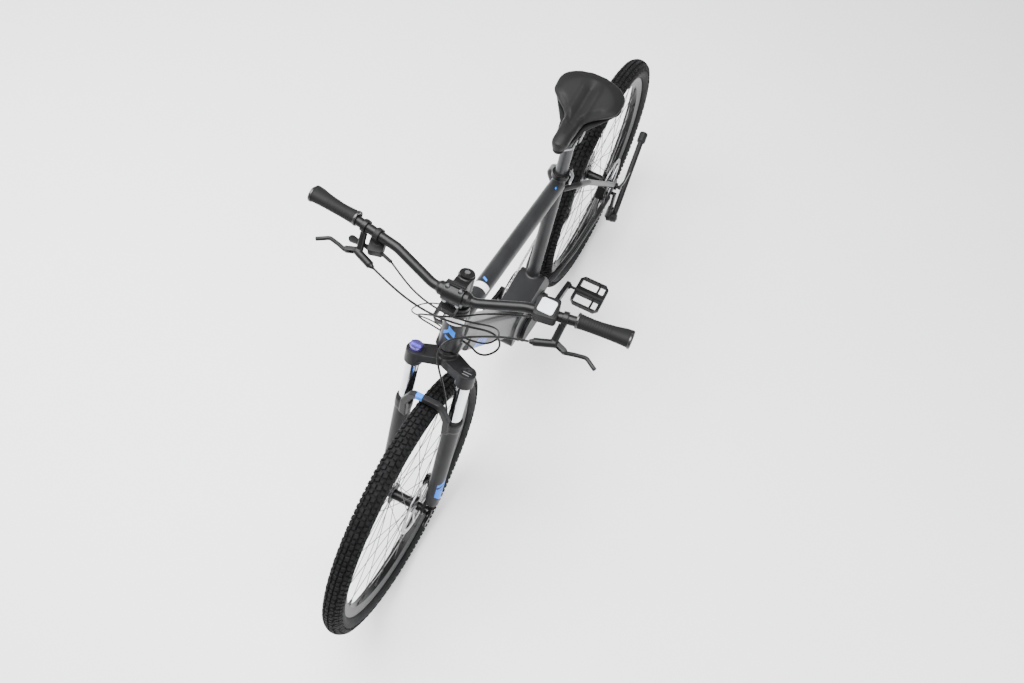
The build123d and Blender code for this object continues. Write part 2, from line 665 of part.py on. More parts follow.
kick_pivot = Vector(-545, 92, 262)
kick_tip = Vector(-818, 62, 352)
kick_side, kick_drop = 110.0, -248.0
folded = kick_tip - kick_pivot
swung = Vector(math.sqrt(folded.length ** 2 - kick_side ** 2 - kick_drop ** 2), kick_side, kick_drop)
chord = swung - folded
kick_axis = (Vector(0, 1, 0) - chord * (chord.Y / chord.dot(chord))).normalized()
with BuildPart() as kickstand_bracket:
    strut_y = dropout_outer + face_gap + 6
    strut = Plane(origin=(0, strut_y, 0), x_dir=(1, 0, 0), z_dir=(0, -1, 0))
    hull_plate(strut, [((-553, 360), 8), ((-547, 300), 10)], -8)
    rod((-556, dropout_outer + face_gap, 360), (-556, strut_y, 360), 5)
    cone((-547, strut_y + 4, 302), kick_pivot - kick_axis * 10, 9, 11)
    rod(kick_pivot - kick_axis * 14, kick_pivot - kick_axis * 1, 14)
    bore(kick_pivot - kick_axis * 1, kick_pivot + kick_axis * 16, 18)
    rod(kick_pivot - kick_axis * 14, kick_pivot + kick_axis * 19, 4)
    rod(kick_pivot + kick_axis * 14.3, kick_pivot + kick_axis * 19, 8)
save(kickstand_bracket, "kickstand_bracket")

leg_start = kick_pivot + kick_axis * 7
with BuildPart() as kickstand:
    rod(kick_pivot - kick_axis * 0.7, kick_pivot + kick_axis * 14, 13)
    rod(leg_start + folded * 0.03, leg_start + folded * 0.9, 6.0)
    bore(kick_pivot - kick_axis * 2, kick_pivot + kick_axis * 15, 4 + running_gap)
    rod(leg_start + folded * 0.9, leg_start + folded, 10.5)
save(kickstand, "kickstand")


def axle_with_lever(axle, half_width, plate, name, lever_way):
    """A hub axle with its locknuts, nut and lever head, and the lever that closes it."""
    outside = half_width + plate
    pin = across(axle, outside + 14)
    with BuildPart() as made:
        rod(across(axle, -outside - 3), across(axle, outside + 3), axle_radius)
        for side in (1, -1):
            rod(across(axle, side * (half_width - 3.7)), across(axle, side * half_width), 9)
            rod(across(axle, side * (outside + face_gap)), across(axle, side * (outside + 6)), 10)
        rod(across(axle, -outside - 12), across(axle, -outside), 8)
        cheek = Plane(origin=pin, x_dir=(0, 1, 0), z_dir=lever_way.cross(Vector(0, 1, 0)))
        for offset in (-8.5, 8.5):
            hull_plate(cheek.offset(offset), [((-8, 0), 5), ((0, 0), 5.5)], 2, both=True)
        rod(pin - cheek.z_dir * 10, pin + cheek.z_dir * 10, 2)
        rod(across(axle, outside + 1), across(axle, outside + 6.5), 11)
    save(made, name + "_axle")
    lever(pin, lever_way, cheek.z_dir, 12.4, 52, 6, name + "_quick_release_lever")


axle_with_lever(rear_axle, rear_half, 6, "rear", Vector(-math.cos(0.6), 0, math.sin(0.6)))
axle_with_lever(front_axle, front_half, 7, "front", Vector(math.cos(0.6), 0, math.sin(0.6)))


def caliper(centre, along, rotor_y, inner, outer, name):
    """A brake caliper astride its rotor, with its two pads in the slot."""
    flat = Plane(origin=(centre.X, 0, centre.Z), x_dir=along, z_dir=(0, 1, 0))
    with BuildPart() as made:
        with BuildSketch(flat.offset(inner)) as body:
            RectangleRounded(46, 30, 7)
        extrude(body.sketch, amount=outer - inner)
        with BuildSketch(flat.offset(rotor_y)) as slot:
            with Locations((0, 2.5)):
                Rectangle(60, 30)
        extrude(slot.sketch, amount=4.6, both=True, mode=Mode.SUBTRACT)
        for side in sides:
            with BuildSketch(flat.offset(rotor_y + side * 3.1)) as pad:
                with Locations((0, 1)):
                    Rectangle(28, 17)
            extrude(pad.sketch, amount=1.7, both=True)
    save(made, name)


# a caliper's local +y points to its axle
rear_caliper_at = rear_axle + Vector(math.cos(0.47), 0, math.sin(0.47)) * 69
caliper(rear_caliper_at, Vector(math.sin(0.47), 0, -math.cos(0.47)), rear_rotor_y, 39, caliper_outer,
        "rear_brake_caliper")
front_caliper_at = at(-2, 0, 56)
front_caliper_outer = 48.0
front_way = (front_caliper_at - front_axle).normalized()
caliper(front_caliper_at, Vector(front_way.Z, 0, -front_way.X), front_rotor_y, 25.5, front_caliper_outer,
        "front_brake_caliper")

hanger_bolt = Vector(-575, -dropout_inner - 6, 336)
cage_outer_y, cage_inner_y = -(chain_line + 6.5), -(chain_line - 6)
cage_plates = [((wheel.centre.X, wheel.centre.Z), 12) for wheel in (guide_wheel, tension_wheel)]
with BuildPart() as derailleur:
    rod(hanger_bolt + Vector(0, 6, 0), hanger_bolt - Vector(0, 15, 0), 4)
    rod(hanger_bolt - Vector(0, face_gap, 0), hanger_bolt - Vector(0, 15, 0), 12)
    arm = Plane(origin=(0, hanger_bolt.Y - 14, 0), x_dir=(1, 0, 0), z_dir=(0, -1, 0))
    hull_plate(arm, [((hanger_bolt.X, hanger_bolt.Z), 11), ((guide_wheel.centre.X, guide_wheel.centre.Z), 13)], -11)
    for y in (cage_outer_y, cage_inner_y):
        hull_plate(Plane(origin=(0, y, 0), x_dir=(1, 0, 0), z_dir=(0, -1, 0)), cage_plates, 0.8, both=True)
    rod(across(guide_wheel.centre, cage_outer_y + 0.7), across(guide_wheel.centre, hanger_bolt.Y - 8), 11)
    for wheel in (guide_wheel, tension_wheel):
        rod(across(wheel.centre, cage_outer_y - 1.5), across(wheel.centre, cage_inner_y + 1.5), 2.5)
save(derailleur, "rear_derailleur")

# ------------------------------------------------------------------ seat post and saddle
post_top = 512.0                           # up the seat tube's axis
rail_spread = 22.0
rail_radius = 3.5
clamp_point = on_seat(0, 0, post_top)
rail_z = clamp_point.Z + 14
with BuildPart() as seatpost:
    rod(on_seat(0, 0, seat_tube_length - 190), on_seat(0, 0, post_top - 2), post_radius)
    rod(clamp_point - Vector(0, rail_spread + 6, 0), clamp_point + Vector(0, rail_spread + 6, 0), 10)
    block(Plane(clamp_point + Vector(0, 0, 7)), 36, 2 * rail_spread + 14, 12)
    for side in sides:
        rail = Vector(clamp_point.X - 30, side * rail_spread, rail_z)
        bore(rail, rail + Vector(60, 0, 0), rail_radius + running_gap)
    bore(clamp_point - Vector(0, 0, 8), clamp_point + Vector(0, 0, 20), 3.1)
    bore(on_seat(0, 0, seat_tube_length - 191), on_seat(0, 0, post_top - 30), post_radius - 2.5)
    block(Plane(clamp_point + Vector(0, 0, 17.2)), 34, 2 * rail_spread + 14, 6)
    for side in sides:
        rail = Vector(clamp_point.X - 30, side * rail_spread, rail_z)
        bore(rail, rail + Vector(60, 0, 0), rail_radius + running_gap)
    rod(clamp_point - Vector(0, 0, 6), clamp_point + Vector(0, 0, 22.5), 3)
save(seatpost, "seatpost")

nose_x = clamp_point.X + 108
tail_x = nose_x - saddle_length
pad_bottom = saddle_top - 34.0
shell_thickness = 5.0
shell_bottom = pad_bottom - face_gap - shell_thickness
with BuildPart() as saddle_rails:
    for side in (1, -1):
        bent_bar([Vector(nose_x - 26, side * 9, shell_bottom), Vector(nose_x - 58, side * rail_spread, rail_z),
                  Vector(tail_x + 62, side * rail_spread, rail_z),
                  Vector(tail_x + 26, side * 40, shell_bottom)],
                 [14, 14], rail_radius)
    block(Plane((clamp_point.X, 0, shell_bottom - face_gap + 15)), 400, 200, 30, Mode.SUBTRACT)
save(saddle_rails, "saddle_rails")


def saddle_outline(plane, shrink, height):
    """The saddle's plan, narrower by shrink all round: a nose, a waist and two wings."""
    wing = saddle_half_width - 38
    hull_plate(plane, [((nose_x - 22, 0), 22 - shrink), ((nose_x - 135, 0), 48 - shrink)], height)
    hull_plate(plane, [((nose_x - 110, 0), 40 - shrink), ((tail_x + 62, wing), 38 - shrink),
                       ((tail_x + 62, -wing), 38 - shrink), ((tail_x + 40, 0), 40 - shrink)], height)


with BuildPart() as saddle_shell:
    saddle_outline(Plane.XY.offset(shell_bottom), 8, shell_thickness)
save(saddle_shell, "saddle_shell")
with BuildPart() as saddle_pad:
    saddle_outline(Plane.XY.offset(pad_bottom), 0, saddle_top - pad_bottom)
save(saddle_pad, "saddle_pad")

# ------------------------------------------------------------------ fork
sleeve_foot = 60.0                         # the bottom of each lower leg's bore
stanchion_foot = sleeve_foot + fork_travel + 8
with BuildPart() as fork_crown:
    for side in sides:
        hull_plate(steer.offset(crown_height + 14), [((0, 0), 25), ((leg_offset, side * leg_spread), 21)], 22)
        socket = at(leg_offset, side * leg_spread, crown_height)
        rod(socket, socket + up_axis * 38, 22)
    rod(at(0, 0, crown_height + 20), at(0, 0, crown_top), 25)
    rod(at(0, 0, crown_top), at(0, 0, crown_top + 5.7), 22)
    rod(at(0, 0, crown_top), at(0, 0, stem_bottom + stem_height - 3), steerer_radius)
    bore(at(0, 0, crown_top + 20), at(0, 0, stem_bottom + stem_height), steerer_radius - 2.5)
    for side in sides:
        socket = at(leg_offset, side * leg_spread, crown_height)
        bore(socket - up_axis, socket + up_axis * 33, stanchion_radius)
    bore(at(leg_offset, leg_spread, crown_height + 34), at(leg_offset, leg_spread, crown_height + 39), 13)
    rod(at(leg_offset, -leg_spread, crown_height + 30), at(leg_offset, -leg_spread, crown_height + 39),
        4 + running_gap, Mode.SUBTRACT)
save(fork_crown, "fork_crown")

with BuildPart() as stanchions:
    for side in sides:
        foot = at(leg_offset, side * leg_spread, stanchion_foot)
        top = at(leg_offset, side * leg_spread, crown_height + 33)
        rod(foot, top, stanchion_radius)
        bore(foot - up_axis, top - up_axis * 4, stanchion_radius - 2.5)
save(stanchions, "stanchions")

with BuildPart() as lockout_knob:
    knob_foot = at(leg_offset, -leg_spread, crown_height + 38)
    rod(knob_foot + up_axis * face_gap, knob_foot + up_axis * 11, 15)
    rod(knob_foot - up_axis * 4.5, knob_foot + up_axis * 5, 4)
    block(Plane(knob_foot + up_axis * 13, x_dir=ahead_axis, z_dir=up_axis), 7, 26, 5)
save(lockout_knob, "lockout_knob")

arch_rise = 18 / 88
arch_plane = Plane(origin=at(48, 0, 300), x_dir=(0, 1, 0), z_dir=(ahead_axis - up_axis * arch_rise).normalized())
arch_outer = [(64, 2), (64, 50), (40, 98), (-40, 98), (-64, 50), (-64, 2)]
arch_inner = [(47, -8), (47, 44), (30, 82), (-30, 82), (-47, 44), (-47, -8)]
with BuildPart() as fork_lowers:
    for side in sides:
        top, foot = at(leg_offset, side * leg_spread, seal_height), at(leg_offset, side * leg_spread, 24)
        cone(foot, top, lower_foot_radius, lower_top_radius)
        rod(top - up_axis * 24, top, lower_top_radius + 1)
        dropout = Plane(origin=front_axle + Vector(0, side * (front_half + 3.5), 0), x_dir=(1, 0, 0),
                        z_dir=(0, -1, 0))
        leg_end = at(leg_offset, 0, 30) - front_axle
        hull_plate(dropout, [((0, 0), 16), ((leg_end.X, leg_end.Z), 13)], 3.5, both=True)
    with BuildSketch(arch_plane) as arch:
        with BuildLine():
            FilletPolyline(*arch_outer, radius=22)
            FilletPolyline(*arch_inner, radius=14)
            Line(arch_outer[0], arch_inner[0])
            Line(arch_outer[-1], arch_inner[-1])
        make_face()
    extrude(arch.sketch, amount=7, both=True)
    for up in (44, 74):
        rod(at(leg_offset - 8, 58, up), at(-4, 50, up), 5)
    for side in sides:
        foot = at(leg_offset, side * leg_spread, sleeve_foot)
        bore(foot, foot + up_axis * (seal_height - sleeve_foot + 40), stanchion_radius + running_gap)
    block(Plane(front_caliper_at, x_dir=ahead_axis, z_dir=up_axis), 44, 2 * (front_caliper_outer + face_gap), 60,
          Mode.SUBTRACT)
    bore(front_axle - Vector(0, 90, 0), front_axle + Vector(0, 90, 0), axle_radius + running_gap)
    for side in sides:
        block(Plane(front_axle + Vector(0, side * 40, 0)), 70, 20, 70, Mode.SUBTRACT)
save(fork_lowers, "fork_lowers")

# ------------------------------------------------------------------ stem, bars and controls
bar_centre = at(stem_reach, 0, bar_clamp_height)
bar_points = [Vector(262, -grip_end + 3, 1056), Vector(298, -150, 1050), Vector(bar_centre.X, -50, bar_centre.Z),
              Vector(bar_centre.X, 50, bar_centre.Z), Vector(298, 150, 1050), Vector(262, grip_end - 3, 1056)]
bar_way = (bar_points[5] - bar_points[4]).normalized()


def on_bar(side, width):
    """The point on the straight part of the bar at that width, to the left (1) or right (-1)."""
    point = bar_points[4] + bar_way * ((width - 150) / bar_way.Y)
    return Vector(point.X, side * point.Y, point.Z)


with BuildPart() as headset_spacers:
    ring(at(0, 0, head_tube_top + 7 + face_gap), at(0, 0, stem_bottom), 18, steerer_radius + 0.02)
    rod(at(0, 0, stem_bottom + stem_height), at(0, 0, stem_bottom + stem_height + 5), 17)
save(headset_spacers, "headset_spacers")

clamp_split = 1.0
bolt_up = 20.5
bolt_side = 15.0
clamp_half = 23.0
bar_plane = Plane(origin=bar_centre, x_dir=ahead_axis, z_dir=(0, -1, 0))
with BuildPart() as stem:
    rod(at(0, 0, stem_bottom), at(0, 0, stem_bottom + stem_height), 19)
    block(Plane(at(stem_reach / 2 - 4, 0, bar_clamp_height - 3), x_dir=ahead_axis, z_dir=up_axis),
          stem_reach - 18, 34, 32)
    with BuildSketch(bar_plane) as clamp:
        Circle(22)
        Rectangle(14, 2 * bolt_up + 11)
    extrude(clamp.sketch, amount=clamp_half, both=True)
    with BuildSketch(bar_plane) as front_room:
        with Locations((30 - clamp_split / 2, 0)):
            Rectangle(60, 120)
    extrude(front_room.sketch, amount=60, both=True, mode=Mode.SUBTRACT)
    bore(bar_centre - Vector(0, 30, 0), bar_centre + Vector(0, 30, 0), bar_clamp_radius + 0.02)
    bore(at(0, 0, stem_bottom - 1), at(0, 0, stem_bottom + stem_height + 1), steerer_radius + 0.02)
    for side in sides:
        for up in (-bolt_up, bolt_up):
            hole = at(stem_reach - 18, side * bolt_side, bar_clamp_height + up)
            bore(hole, hole + ahead_axis * 18, 2.55)
save(stem, "stem")

with BuildPart() as stem_faceplate:
    with BuildSketch(bar_plane) as clamp:
        Circle(22)
        Rectangle(14, 2 * bolt_up + 11)
    extrude(clamp.sketch, amount=clamp_half, both=True)
    with BuildSketch(bar_plane) as back_room:
        with Locations((-30 + clamp_split / 2, 0)):
            Rectangle(60, 120)
    extrude(back_room.sketch, amount=60, both=True, mode=Mode.SUBTRACT)
    bore(bar_centre - Vector(0, 30, 0), bar_centre + Vector(0, 30, 0), bar_clamp_radius + 0.02)
    for side in sides:
        for up in (-bolt_up, bolt_up):
            hole = at(stem_reach - 1, side * bolt_side, bar_clamp_height + up)
            bore(hole, hole + ahead_axis * 18, 2.55)
            bore(hole + ahead_axis * 8, hole + ahead_axis * 24, 4.4)
save(stem_faceplate, "stem_faceplate")

with BuildPart() as stem_bolts:
    for side in sides:
        for up in (-bolt_up, bolt_up):
            head = at(stem_reach + 7, side * bolt_side, bar_clamp_height + up)
            rod(head - ahead_axis * 13.5, head, 2.5)
            rod(head, head + ahead_axis * 4, 4.2)
    cap = at(0, 0, stem_bottom + stem_height + 5)
    rod(cap, cap + up_axis * 2.5, 6)
save(stem_bolts, "stem_bolts")

with BuildPart() as handlebar:
    bent_bar(bar_points, [60, 60, 60, 60], bar_radius)
    rod(bar_centre - Vector(0, 33, 0), bar_centre + Vector(0, 33, 0), bar_clamp_radius)
    for side in sides:
        swell = bar_centre + Vector(0, side * 33, 0)
        cone(swell, swell + Vector(0, side * 7, 0), bar_clamp_radius, bar_radius + 0.4)
    bent_bar(bar_points, [60, 60, 60, 60], bar_radius - 2.5, Mode.SUBTRACT)
save(handlebar, "handlebar")

with BuildPart() as grips:
    for side in sides:
        inner, outer = on_bar(side, grip_end - grip_length), on_bar(side, grip_end)
        bulge = on_bar(side, grip_end - 26)
        cone(inner, bulge, 14.5, 17)
        rod(bulge, outer, 17)
        bore(inner, on_bar(side, grip_end - 2.8), bar_radius + 0.02)
save(grips, "grips")

clamp_width = 234.0
lever_pivot = Vector(331, 257, 1008)       # of the left brake lever
with BuildPart() as brake_lever_bodies:
    for side in sides:
        near, far = on_bar(side, clamp_width - 6), on_bar(side, clamp_width + 6)
        hand = on_bar(side, clamp_width)
        rod(near, far, 15)
        elbow = Vector(322, side * 230, 1013)
        cone(hand + (elbow - hand) * 0.28, elbow, 8, 8)
        rod(Vector(325, side * 236, 1011), Vector(343, side * 192, 1011), 9)
        cone(Vector(343, side * 192, 1011), Vector(346, side * 184, 1011), 7, 4.5)
        pivot = Vector(lever_pivot.X, side * lever_pivot.Y, lever_pivot.Z)
        for up in (-6, 5):
            hull_plate(Plane(origin=(0, 0, pivot.Z + up)), [((pivot.X, pivot.Y), 6), ((323, side * 236), 6)], 2)
        rod(pivot - Vector(0, 0, 6), pivot + Vector(0, 0, 7), 2)
        bore(on_bar(side, clamp_width - 8), on_bar(side, clamp_width + 8), bar_radius + 0.02)
save(brake_lever_bodies, "brake_lever_bodies")

for name, side in (("left", 1), ("right", -1)):
    pivot = Vector(lever_pivot.X, side * lever_pivot.Y, lever_pivot.Z)
    with BuildPart() as blade:
        rod(pivot - Vector(0, 0, 3.4), pivot + Vector(0, 0, 4.4), 5.5)
        bent_bar([pivot + Vector(3, side * 3, 0.5), Vector(327, side * 280, 1006), Vector(321, side * 304, 1004),
                  Vector(337, side * 330, 1003)], [14, 12], 3.6)
        bore(pivot - Vector(0, 0, 5), pivot + Vector(0, 0, 6), 2 + running_gap)
    save(blade, f"{name}_brake_lever")

pod = Vector(300, -200, 1020)
pod_plane = Plane(origin=pod, x_dir=(0.97, 0.24, 0), z_dir=(0, 0, 1))
thumb_pins = (Vector(-12, 4, 0), Vector(2, -10, 0))
with BuildPart() as shifter:
    block(pod_plane, 40, 34, 20, corner=6)
    rod(on_bar(-1, 194), on_bar(-1, 206), 15)
    cone(on_bar(-1, 200) - Vector(0, 0, 12), pod + Vector(-6, 0, 8), 7, 9)
    rod(pod_plane.from_local_coords(Vector(13, 12, 0)), pod_plane.from_local_coords(Vector(30, 40, 0)), 4)
    bore(on_bar(-1, 190), on_bar(-1, 210), bar_radius + 0.02)
    for local in thumb_pins:
        pin = pod_plane.from_local_coords(local)
        rod(pin - Vector(0, 0, 18.5), pin - Vector(0, 0, 8), 2.5)
save(shifter, "shifter")

thumb_levers = (("upshift_lever", thumb_pins[0], Vector(258, -236, 1001)),
                ("downshift_lever", thumb_pins[1], Vector(300, -262, 1001)))
for name, local, tip in thumb_levers:
    pin = pod_plane.from_local_coords(local)
    flat = Plane(origin=(0, 0, pin.Z - 17))
    with BuildPart() as thumb:
        halfway = ((pin.X + tip.X) / 2, (pin.Y + tip.Y) / 2)
        hull_plate(flat, [((pin.X, pin.Y), 6), (halfway, 4.5)], 3.5)
        hull_plate(flat.offset(-1.5), [(halfway, 4.5), ((tip.X, tip.Y), 8)], 5)
        bore(pin - Vector(0, 0, 20), pin - Vector(0, 0, 10), 2.5 + running_gap)
    save(thumb, name)

display_middle = on_bar(1, 192) + Vector(-4, 0, 5)
display_plane = Plane(origin=display_middle, x_dir=Vector(bar_way.Y, -bar_way.X, 0), z_dir=(0, 0, 1))
button_at = display_plane.from_local_coords(Vector(-25, 0, 2))
with BuildPart() as display:
    block(display_plane, 50, 50, 30, corner=8)
    bore(on_bar(1, 160), on_bar(1, 224), bar_radius + 0.02)
    bore(button_at, button_at + display_plane.x_dir * 6, 5 + running_gap)
    with BuildSketch(display_plane.offset(15)) as lens:
        RectangleRounded(42, 42, 5)
    extrude(lens.sketch, amount=1.5)
save(display, "display")

with BuildPart() as button:
    rod(button_at - display_plane.x_dir * 2, button_at + display_plane.x_dir * 3.5, 5)
save(button, "display_button")

light_middle = Vector(335, -6, 971)
with BuildPart() as light_sensor:
    block(Plane(light_middle), 24, 32, 20, corner=4)
    rod(light_middle + Vector(0, 6, 9), light_middle + Vector(-3, 6, 32), 4)
    bore(bar_centre - Vector(0, 30, 0), bar_centre + Vector(0, 30, 0), 22.3)
    with BuildSketch(bar_plane) as clamp_room:
        Rectangle(14.6, 2 * bolt_up + 11.6)
    extrude(clamp_room.sketch, amount=clamp_half + face_gap, both=True, mode=Mode.SUBTRACT)
save(light_sensor, "light_bracket")

# ------------------------------------------------------------------ hoses and cables
front_hose_points = [(346.4, 183.2, 1011), (351, 150, 1003), (353, 112, 978), (358, 58, 938), (368, 8, 897),
                     at(45, -12, 519), at(40, 1, 470), at(31, 18, 420), at(24, 36, 358), at(10, 42, 300),
                     at(4, 45, 245), at(2, 45, 190), at(-6, 42, 140),
                     at(-14, 38, 96), at(-4.4, 38, 74.6)]
with BuildPart() as front_hose:
    hose(front_hose_points, 2.5)
save(front_hose, "front_brake_hose")

left_port = at(0, head_tube_radius + 3, port_height)
right_port = at(0, -head_tube_radius - 3, port_height)
with BuildPart() as cables:
    hose([(346.4, -183.2, 1011), (358, -140, 1001), (367, -92, 989), (369, -42, 977), (363, 8, 969), (350, 53, 962),
          (333, 88, 949), (324, 110, 920), (331, 116, 888), (348, 96, 866), (351, 72, 857), (340, 50, 857),
          left_port + Vector(4, 0.8, -1)], 2.5)
    hose([(320.2, -152.7, 1020), (339, -112, 1006), (353, -68, 996), (358, -22, 988), (354, 22, 980), (342, 60, 972),
          (324, 88, 956), (311, 102, 928), (311, 104, 897), (324, 88, 874), (331, 60, 866),
          left_port + Vector(-3, 0.5, 3)], 2.2)
    hose([(307.4, 168.7, 1041.5), (314, 134, 1028), (318, 98, 1008), (323, 62, 985), (331, 30, 960), (341, -2, 945),
          (350, -36, 937), (351, -66, 920), (346, -82, 895), (339, -70, 870), (336, -50, 860),
          right_port + Vector(4, -0.5, 0)], 2.0)
    hose([(334, -22.5, 972), (339, -48, 967), (348, -74, 950), (352, -92, 921), (344, -92, 890), (334, -70, 874),
          (330, -50, 868), right_port + Vector(-3, -0.5, 4)], 1.6)
    hose([rear_hose_start, (-213, 32, 345), (-250, 47, 344), (-300, 57, 350), (-355, 63, 356), (-410, 67, 362),
          (-448, 66, 372), (-478, 58, 397), (-495.4, 58, 391.4)], 2.5)
    hose([rear_cable_start, (-213, -32, 314), (-250, -47, 319), (-305, -57, 327), (-360, -63, 333),
          (-420, -67, 340), (-480, -74, 346), (-530, -81, 338), (-561.4, -82, 326)], 2.2)
save(cables, "cables")
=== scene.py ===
import json
import math

import bmesh
import bpy
import numpy as np
from mathutils import Matrix, Vector

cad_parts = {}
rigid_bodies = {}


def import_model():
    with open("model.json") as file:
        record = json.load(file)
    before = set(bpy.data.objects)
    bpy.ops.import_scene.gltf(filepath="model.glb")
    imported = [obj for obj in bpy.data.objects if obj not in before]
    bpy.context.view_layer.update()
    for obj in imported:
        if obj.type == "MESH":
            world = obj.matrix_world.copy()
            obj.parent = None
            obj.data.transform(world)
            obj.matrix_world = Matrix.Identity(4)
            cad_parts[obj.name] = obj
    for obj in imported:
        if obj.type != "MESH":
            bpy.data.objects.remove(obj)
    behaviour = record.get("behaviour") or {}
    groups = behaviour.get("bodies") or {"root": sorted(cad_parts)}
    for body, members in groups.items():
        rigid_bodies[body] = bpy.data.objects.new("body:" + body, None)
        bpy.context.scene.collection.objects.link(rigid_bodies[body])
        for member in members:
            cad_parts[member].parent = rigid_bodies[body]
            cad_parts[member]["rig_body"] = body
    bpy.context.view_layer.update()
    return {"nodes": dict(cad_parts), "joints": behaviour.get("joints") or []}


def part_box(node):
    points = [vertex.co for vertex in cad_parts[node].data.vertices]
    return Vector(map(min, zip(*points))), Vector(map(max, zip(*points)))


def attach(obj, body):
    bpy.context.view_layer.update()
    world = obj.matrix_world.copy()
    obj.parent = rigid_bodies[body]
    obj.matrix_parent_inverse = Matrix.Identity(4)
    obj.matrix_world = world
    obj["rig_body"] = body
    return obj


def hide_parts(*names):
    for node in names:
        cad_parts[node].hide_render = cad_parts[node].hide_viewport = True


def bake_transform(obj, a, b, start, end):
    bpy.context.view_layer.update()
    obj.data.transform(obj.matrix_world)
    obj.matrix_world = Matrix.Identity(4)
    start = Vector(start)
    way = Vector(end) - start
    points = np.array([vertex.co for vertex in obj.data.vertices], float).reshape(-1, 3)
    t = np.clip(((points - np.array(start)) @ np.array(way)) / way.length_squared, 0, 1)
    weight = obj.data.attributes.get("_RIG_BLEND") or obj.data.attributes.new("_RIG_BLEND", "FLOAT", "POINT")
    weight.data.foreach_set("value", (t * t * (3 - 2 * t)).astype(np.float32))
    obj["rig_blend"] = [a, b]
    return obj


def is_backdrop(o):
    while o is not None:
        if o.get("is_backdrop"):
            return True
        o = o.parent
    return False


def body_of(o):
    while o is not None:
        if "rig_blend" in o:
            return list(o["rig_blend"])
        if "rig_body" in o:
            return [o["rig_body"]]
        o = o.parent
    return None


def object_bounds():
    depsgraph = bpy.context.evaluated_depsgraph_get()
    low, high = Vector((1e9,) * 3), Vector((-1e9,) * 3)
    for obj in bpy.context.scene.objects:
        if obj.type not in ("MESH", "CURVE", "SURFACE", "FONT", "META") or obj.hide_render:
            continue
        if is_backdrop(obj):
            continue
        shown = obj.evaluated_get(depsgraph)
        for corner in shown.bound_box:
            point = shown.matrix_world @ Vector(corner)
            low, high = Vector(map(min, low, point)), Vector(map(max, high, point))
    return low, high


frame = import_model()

nodes = frame["nodes"]
joints = {joint["name"]: joint for joint in frame["joints"]}
print("frame loaded:", len(nodes), "nodes")


# places that the pieces share, read from the frame
def middleOf(node):
    low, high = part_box(node)
    return np.array((low + high) / 2)


def jointPlace(name):
    return np.array(joints[name]["pos_m"], float)


def jointWay(name):
    return np.array(joints[name]["axis"], float)


frontAxle = middleOf("front_tyre")
rearAxle = middleOf("rear_tyre")
steerFoot = jointPlace("steering")
steerUp = jointWay("steering")
steerAhead = np.array([steerUp[2], 0.0, -steerUp[0]])
seatUp = jointWay("seatpost_height")
leftWay = np.array([0.0, 1.0, 0.0])


def atSteer(ahead, side, up):  # ahead of the steering axis, to the left, and up along it
    return steerFoot + steerAhead * ahead + leftWay * side + steerUp * up


# meshes from arrays
def makePiece(name, points, faces, material, body, replaces=(), smooth=True):
    mesh = bpy.data.meshes.new(name)
    mesh.from_pydata(np.asarray(points, float).tolist(), [], [tuple(face) for face in faces])
    mesh.validate()
    mesh.polygons.foreach_set("use_smooth", np.full(len(mesh.polygons), smooth))
    piece = bpy.data.objects.new(name, mesh)
    bpy.context.scene.collection.objects.link(piece)
    mesh.materials.append(material)
    if body:
        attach(piece, body)
    if replaces:
        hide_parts(*replaces)
    return piece


def gridFaces(rows, columns, closedRows=False, closedColumns=False):
    # four-sided faces between neighbours of a grid of points, joined round where it is closed
    row, column = np.meshgrid(np.arange(rows if closedRows else rows - 1),
                              np.arange(columns if closedColumns else columns - 1), indexing="ij")
    nextRow, nextColumn = (row + 1) % rows, (column + 1) % columns
    corners = [row * columns + column, row * columns + nextColumn,
               nextRow * columns + nextColumn, nextRow * columns + column]
    return np.stack([corner.ravel() for corner in corners], axis=1)


def joinParts(parts):
    # several (points, faces) lists made one, with the later faces counted on
    points = np.concatenate([part[0] for part in parts])
    starts = np.cumsum([0] + [len(part[0]) for part in parts[:-1]])
    faces = [tuple(int(corner) + int(start) for corner in face)
             for part, start in zip(parts, starts) for face in part[1]]
    return points, faces


def unit(vector):
    return np.asarray(vector, float) / np.linalg.norm(vector)


def sideways(way):
    # two unit vectors across a way
    first = unit(np.cross(way, [0.0, 1.0, 0.0] if abs(way[1]) < 0.9 else [1.0, 0.0, 0.0]))
    return first, np.cross(way, first)


def turned(origin, way, profile, around=48, closed=True):
    # a profile of (along, radius) turned round an axis: each ring lies its distance along and its radius out
    way = unit(way)
    first, second = sideways(way)
    along, radius = np.array(profile, float).T
    angle = np.linspace(0, 2 * math.pi, around, endpoint=False)
    ring = np.cos(angle)[:, None] * first + np.sin(angle)[:, None] * second
    points = np.asarray(origin) + along[:, None, None] * way + radius[:, None, None] * ring[None]
    faces = gridFaces(len(profile), around, closed, True)[:, ::-1]
    return points.reshape(-1, 3), faces


def tubeAlong(path, radius, around=14):
    # circles across a path, carried along it, with both ends closed
    path = np.asarray(path, float)
    way = np.gradient(path, axis=0)
    way /= np.linalg.norm(way, axis=1)[:, None]
    reference = sideways(unit(path[-1] - path[0]))[1]
    first = np.cross(way, reference)
    first /= np.linalg.norm(first, axis=1)[:, None]
    second = np.cross(way, first)
    angle = np.linspace(0, 2 * math.pi, around, endpoint=False)
    ring = np.cos(angle)[None, :, None] * first[:, None] + np.sin(angle)[None, :, None] * second[:, None]
    points = (path[:, None] + radius * ring).reshape(-1, 3)
    faces = [tuple(face) for face in gridFaces(len(path), around, False, True)]
    last = (len(path) - 1) * around
    faces += [tuple(range(around))[::-1], tuple(range(last, last + around))]
    return points, faces


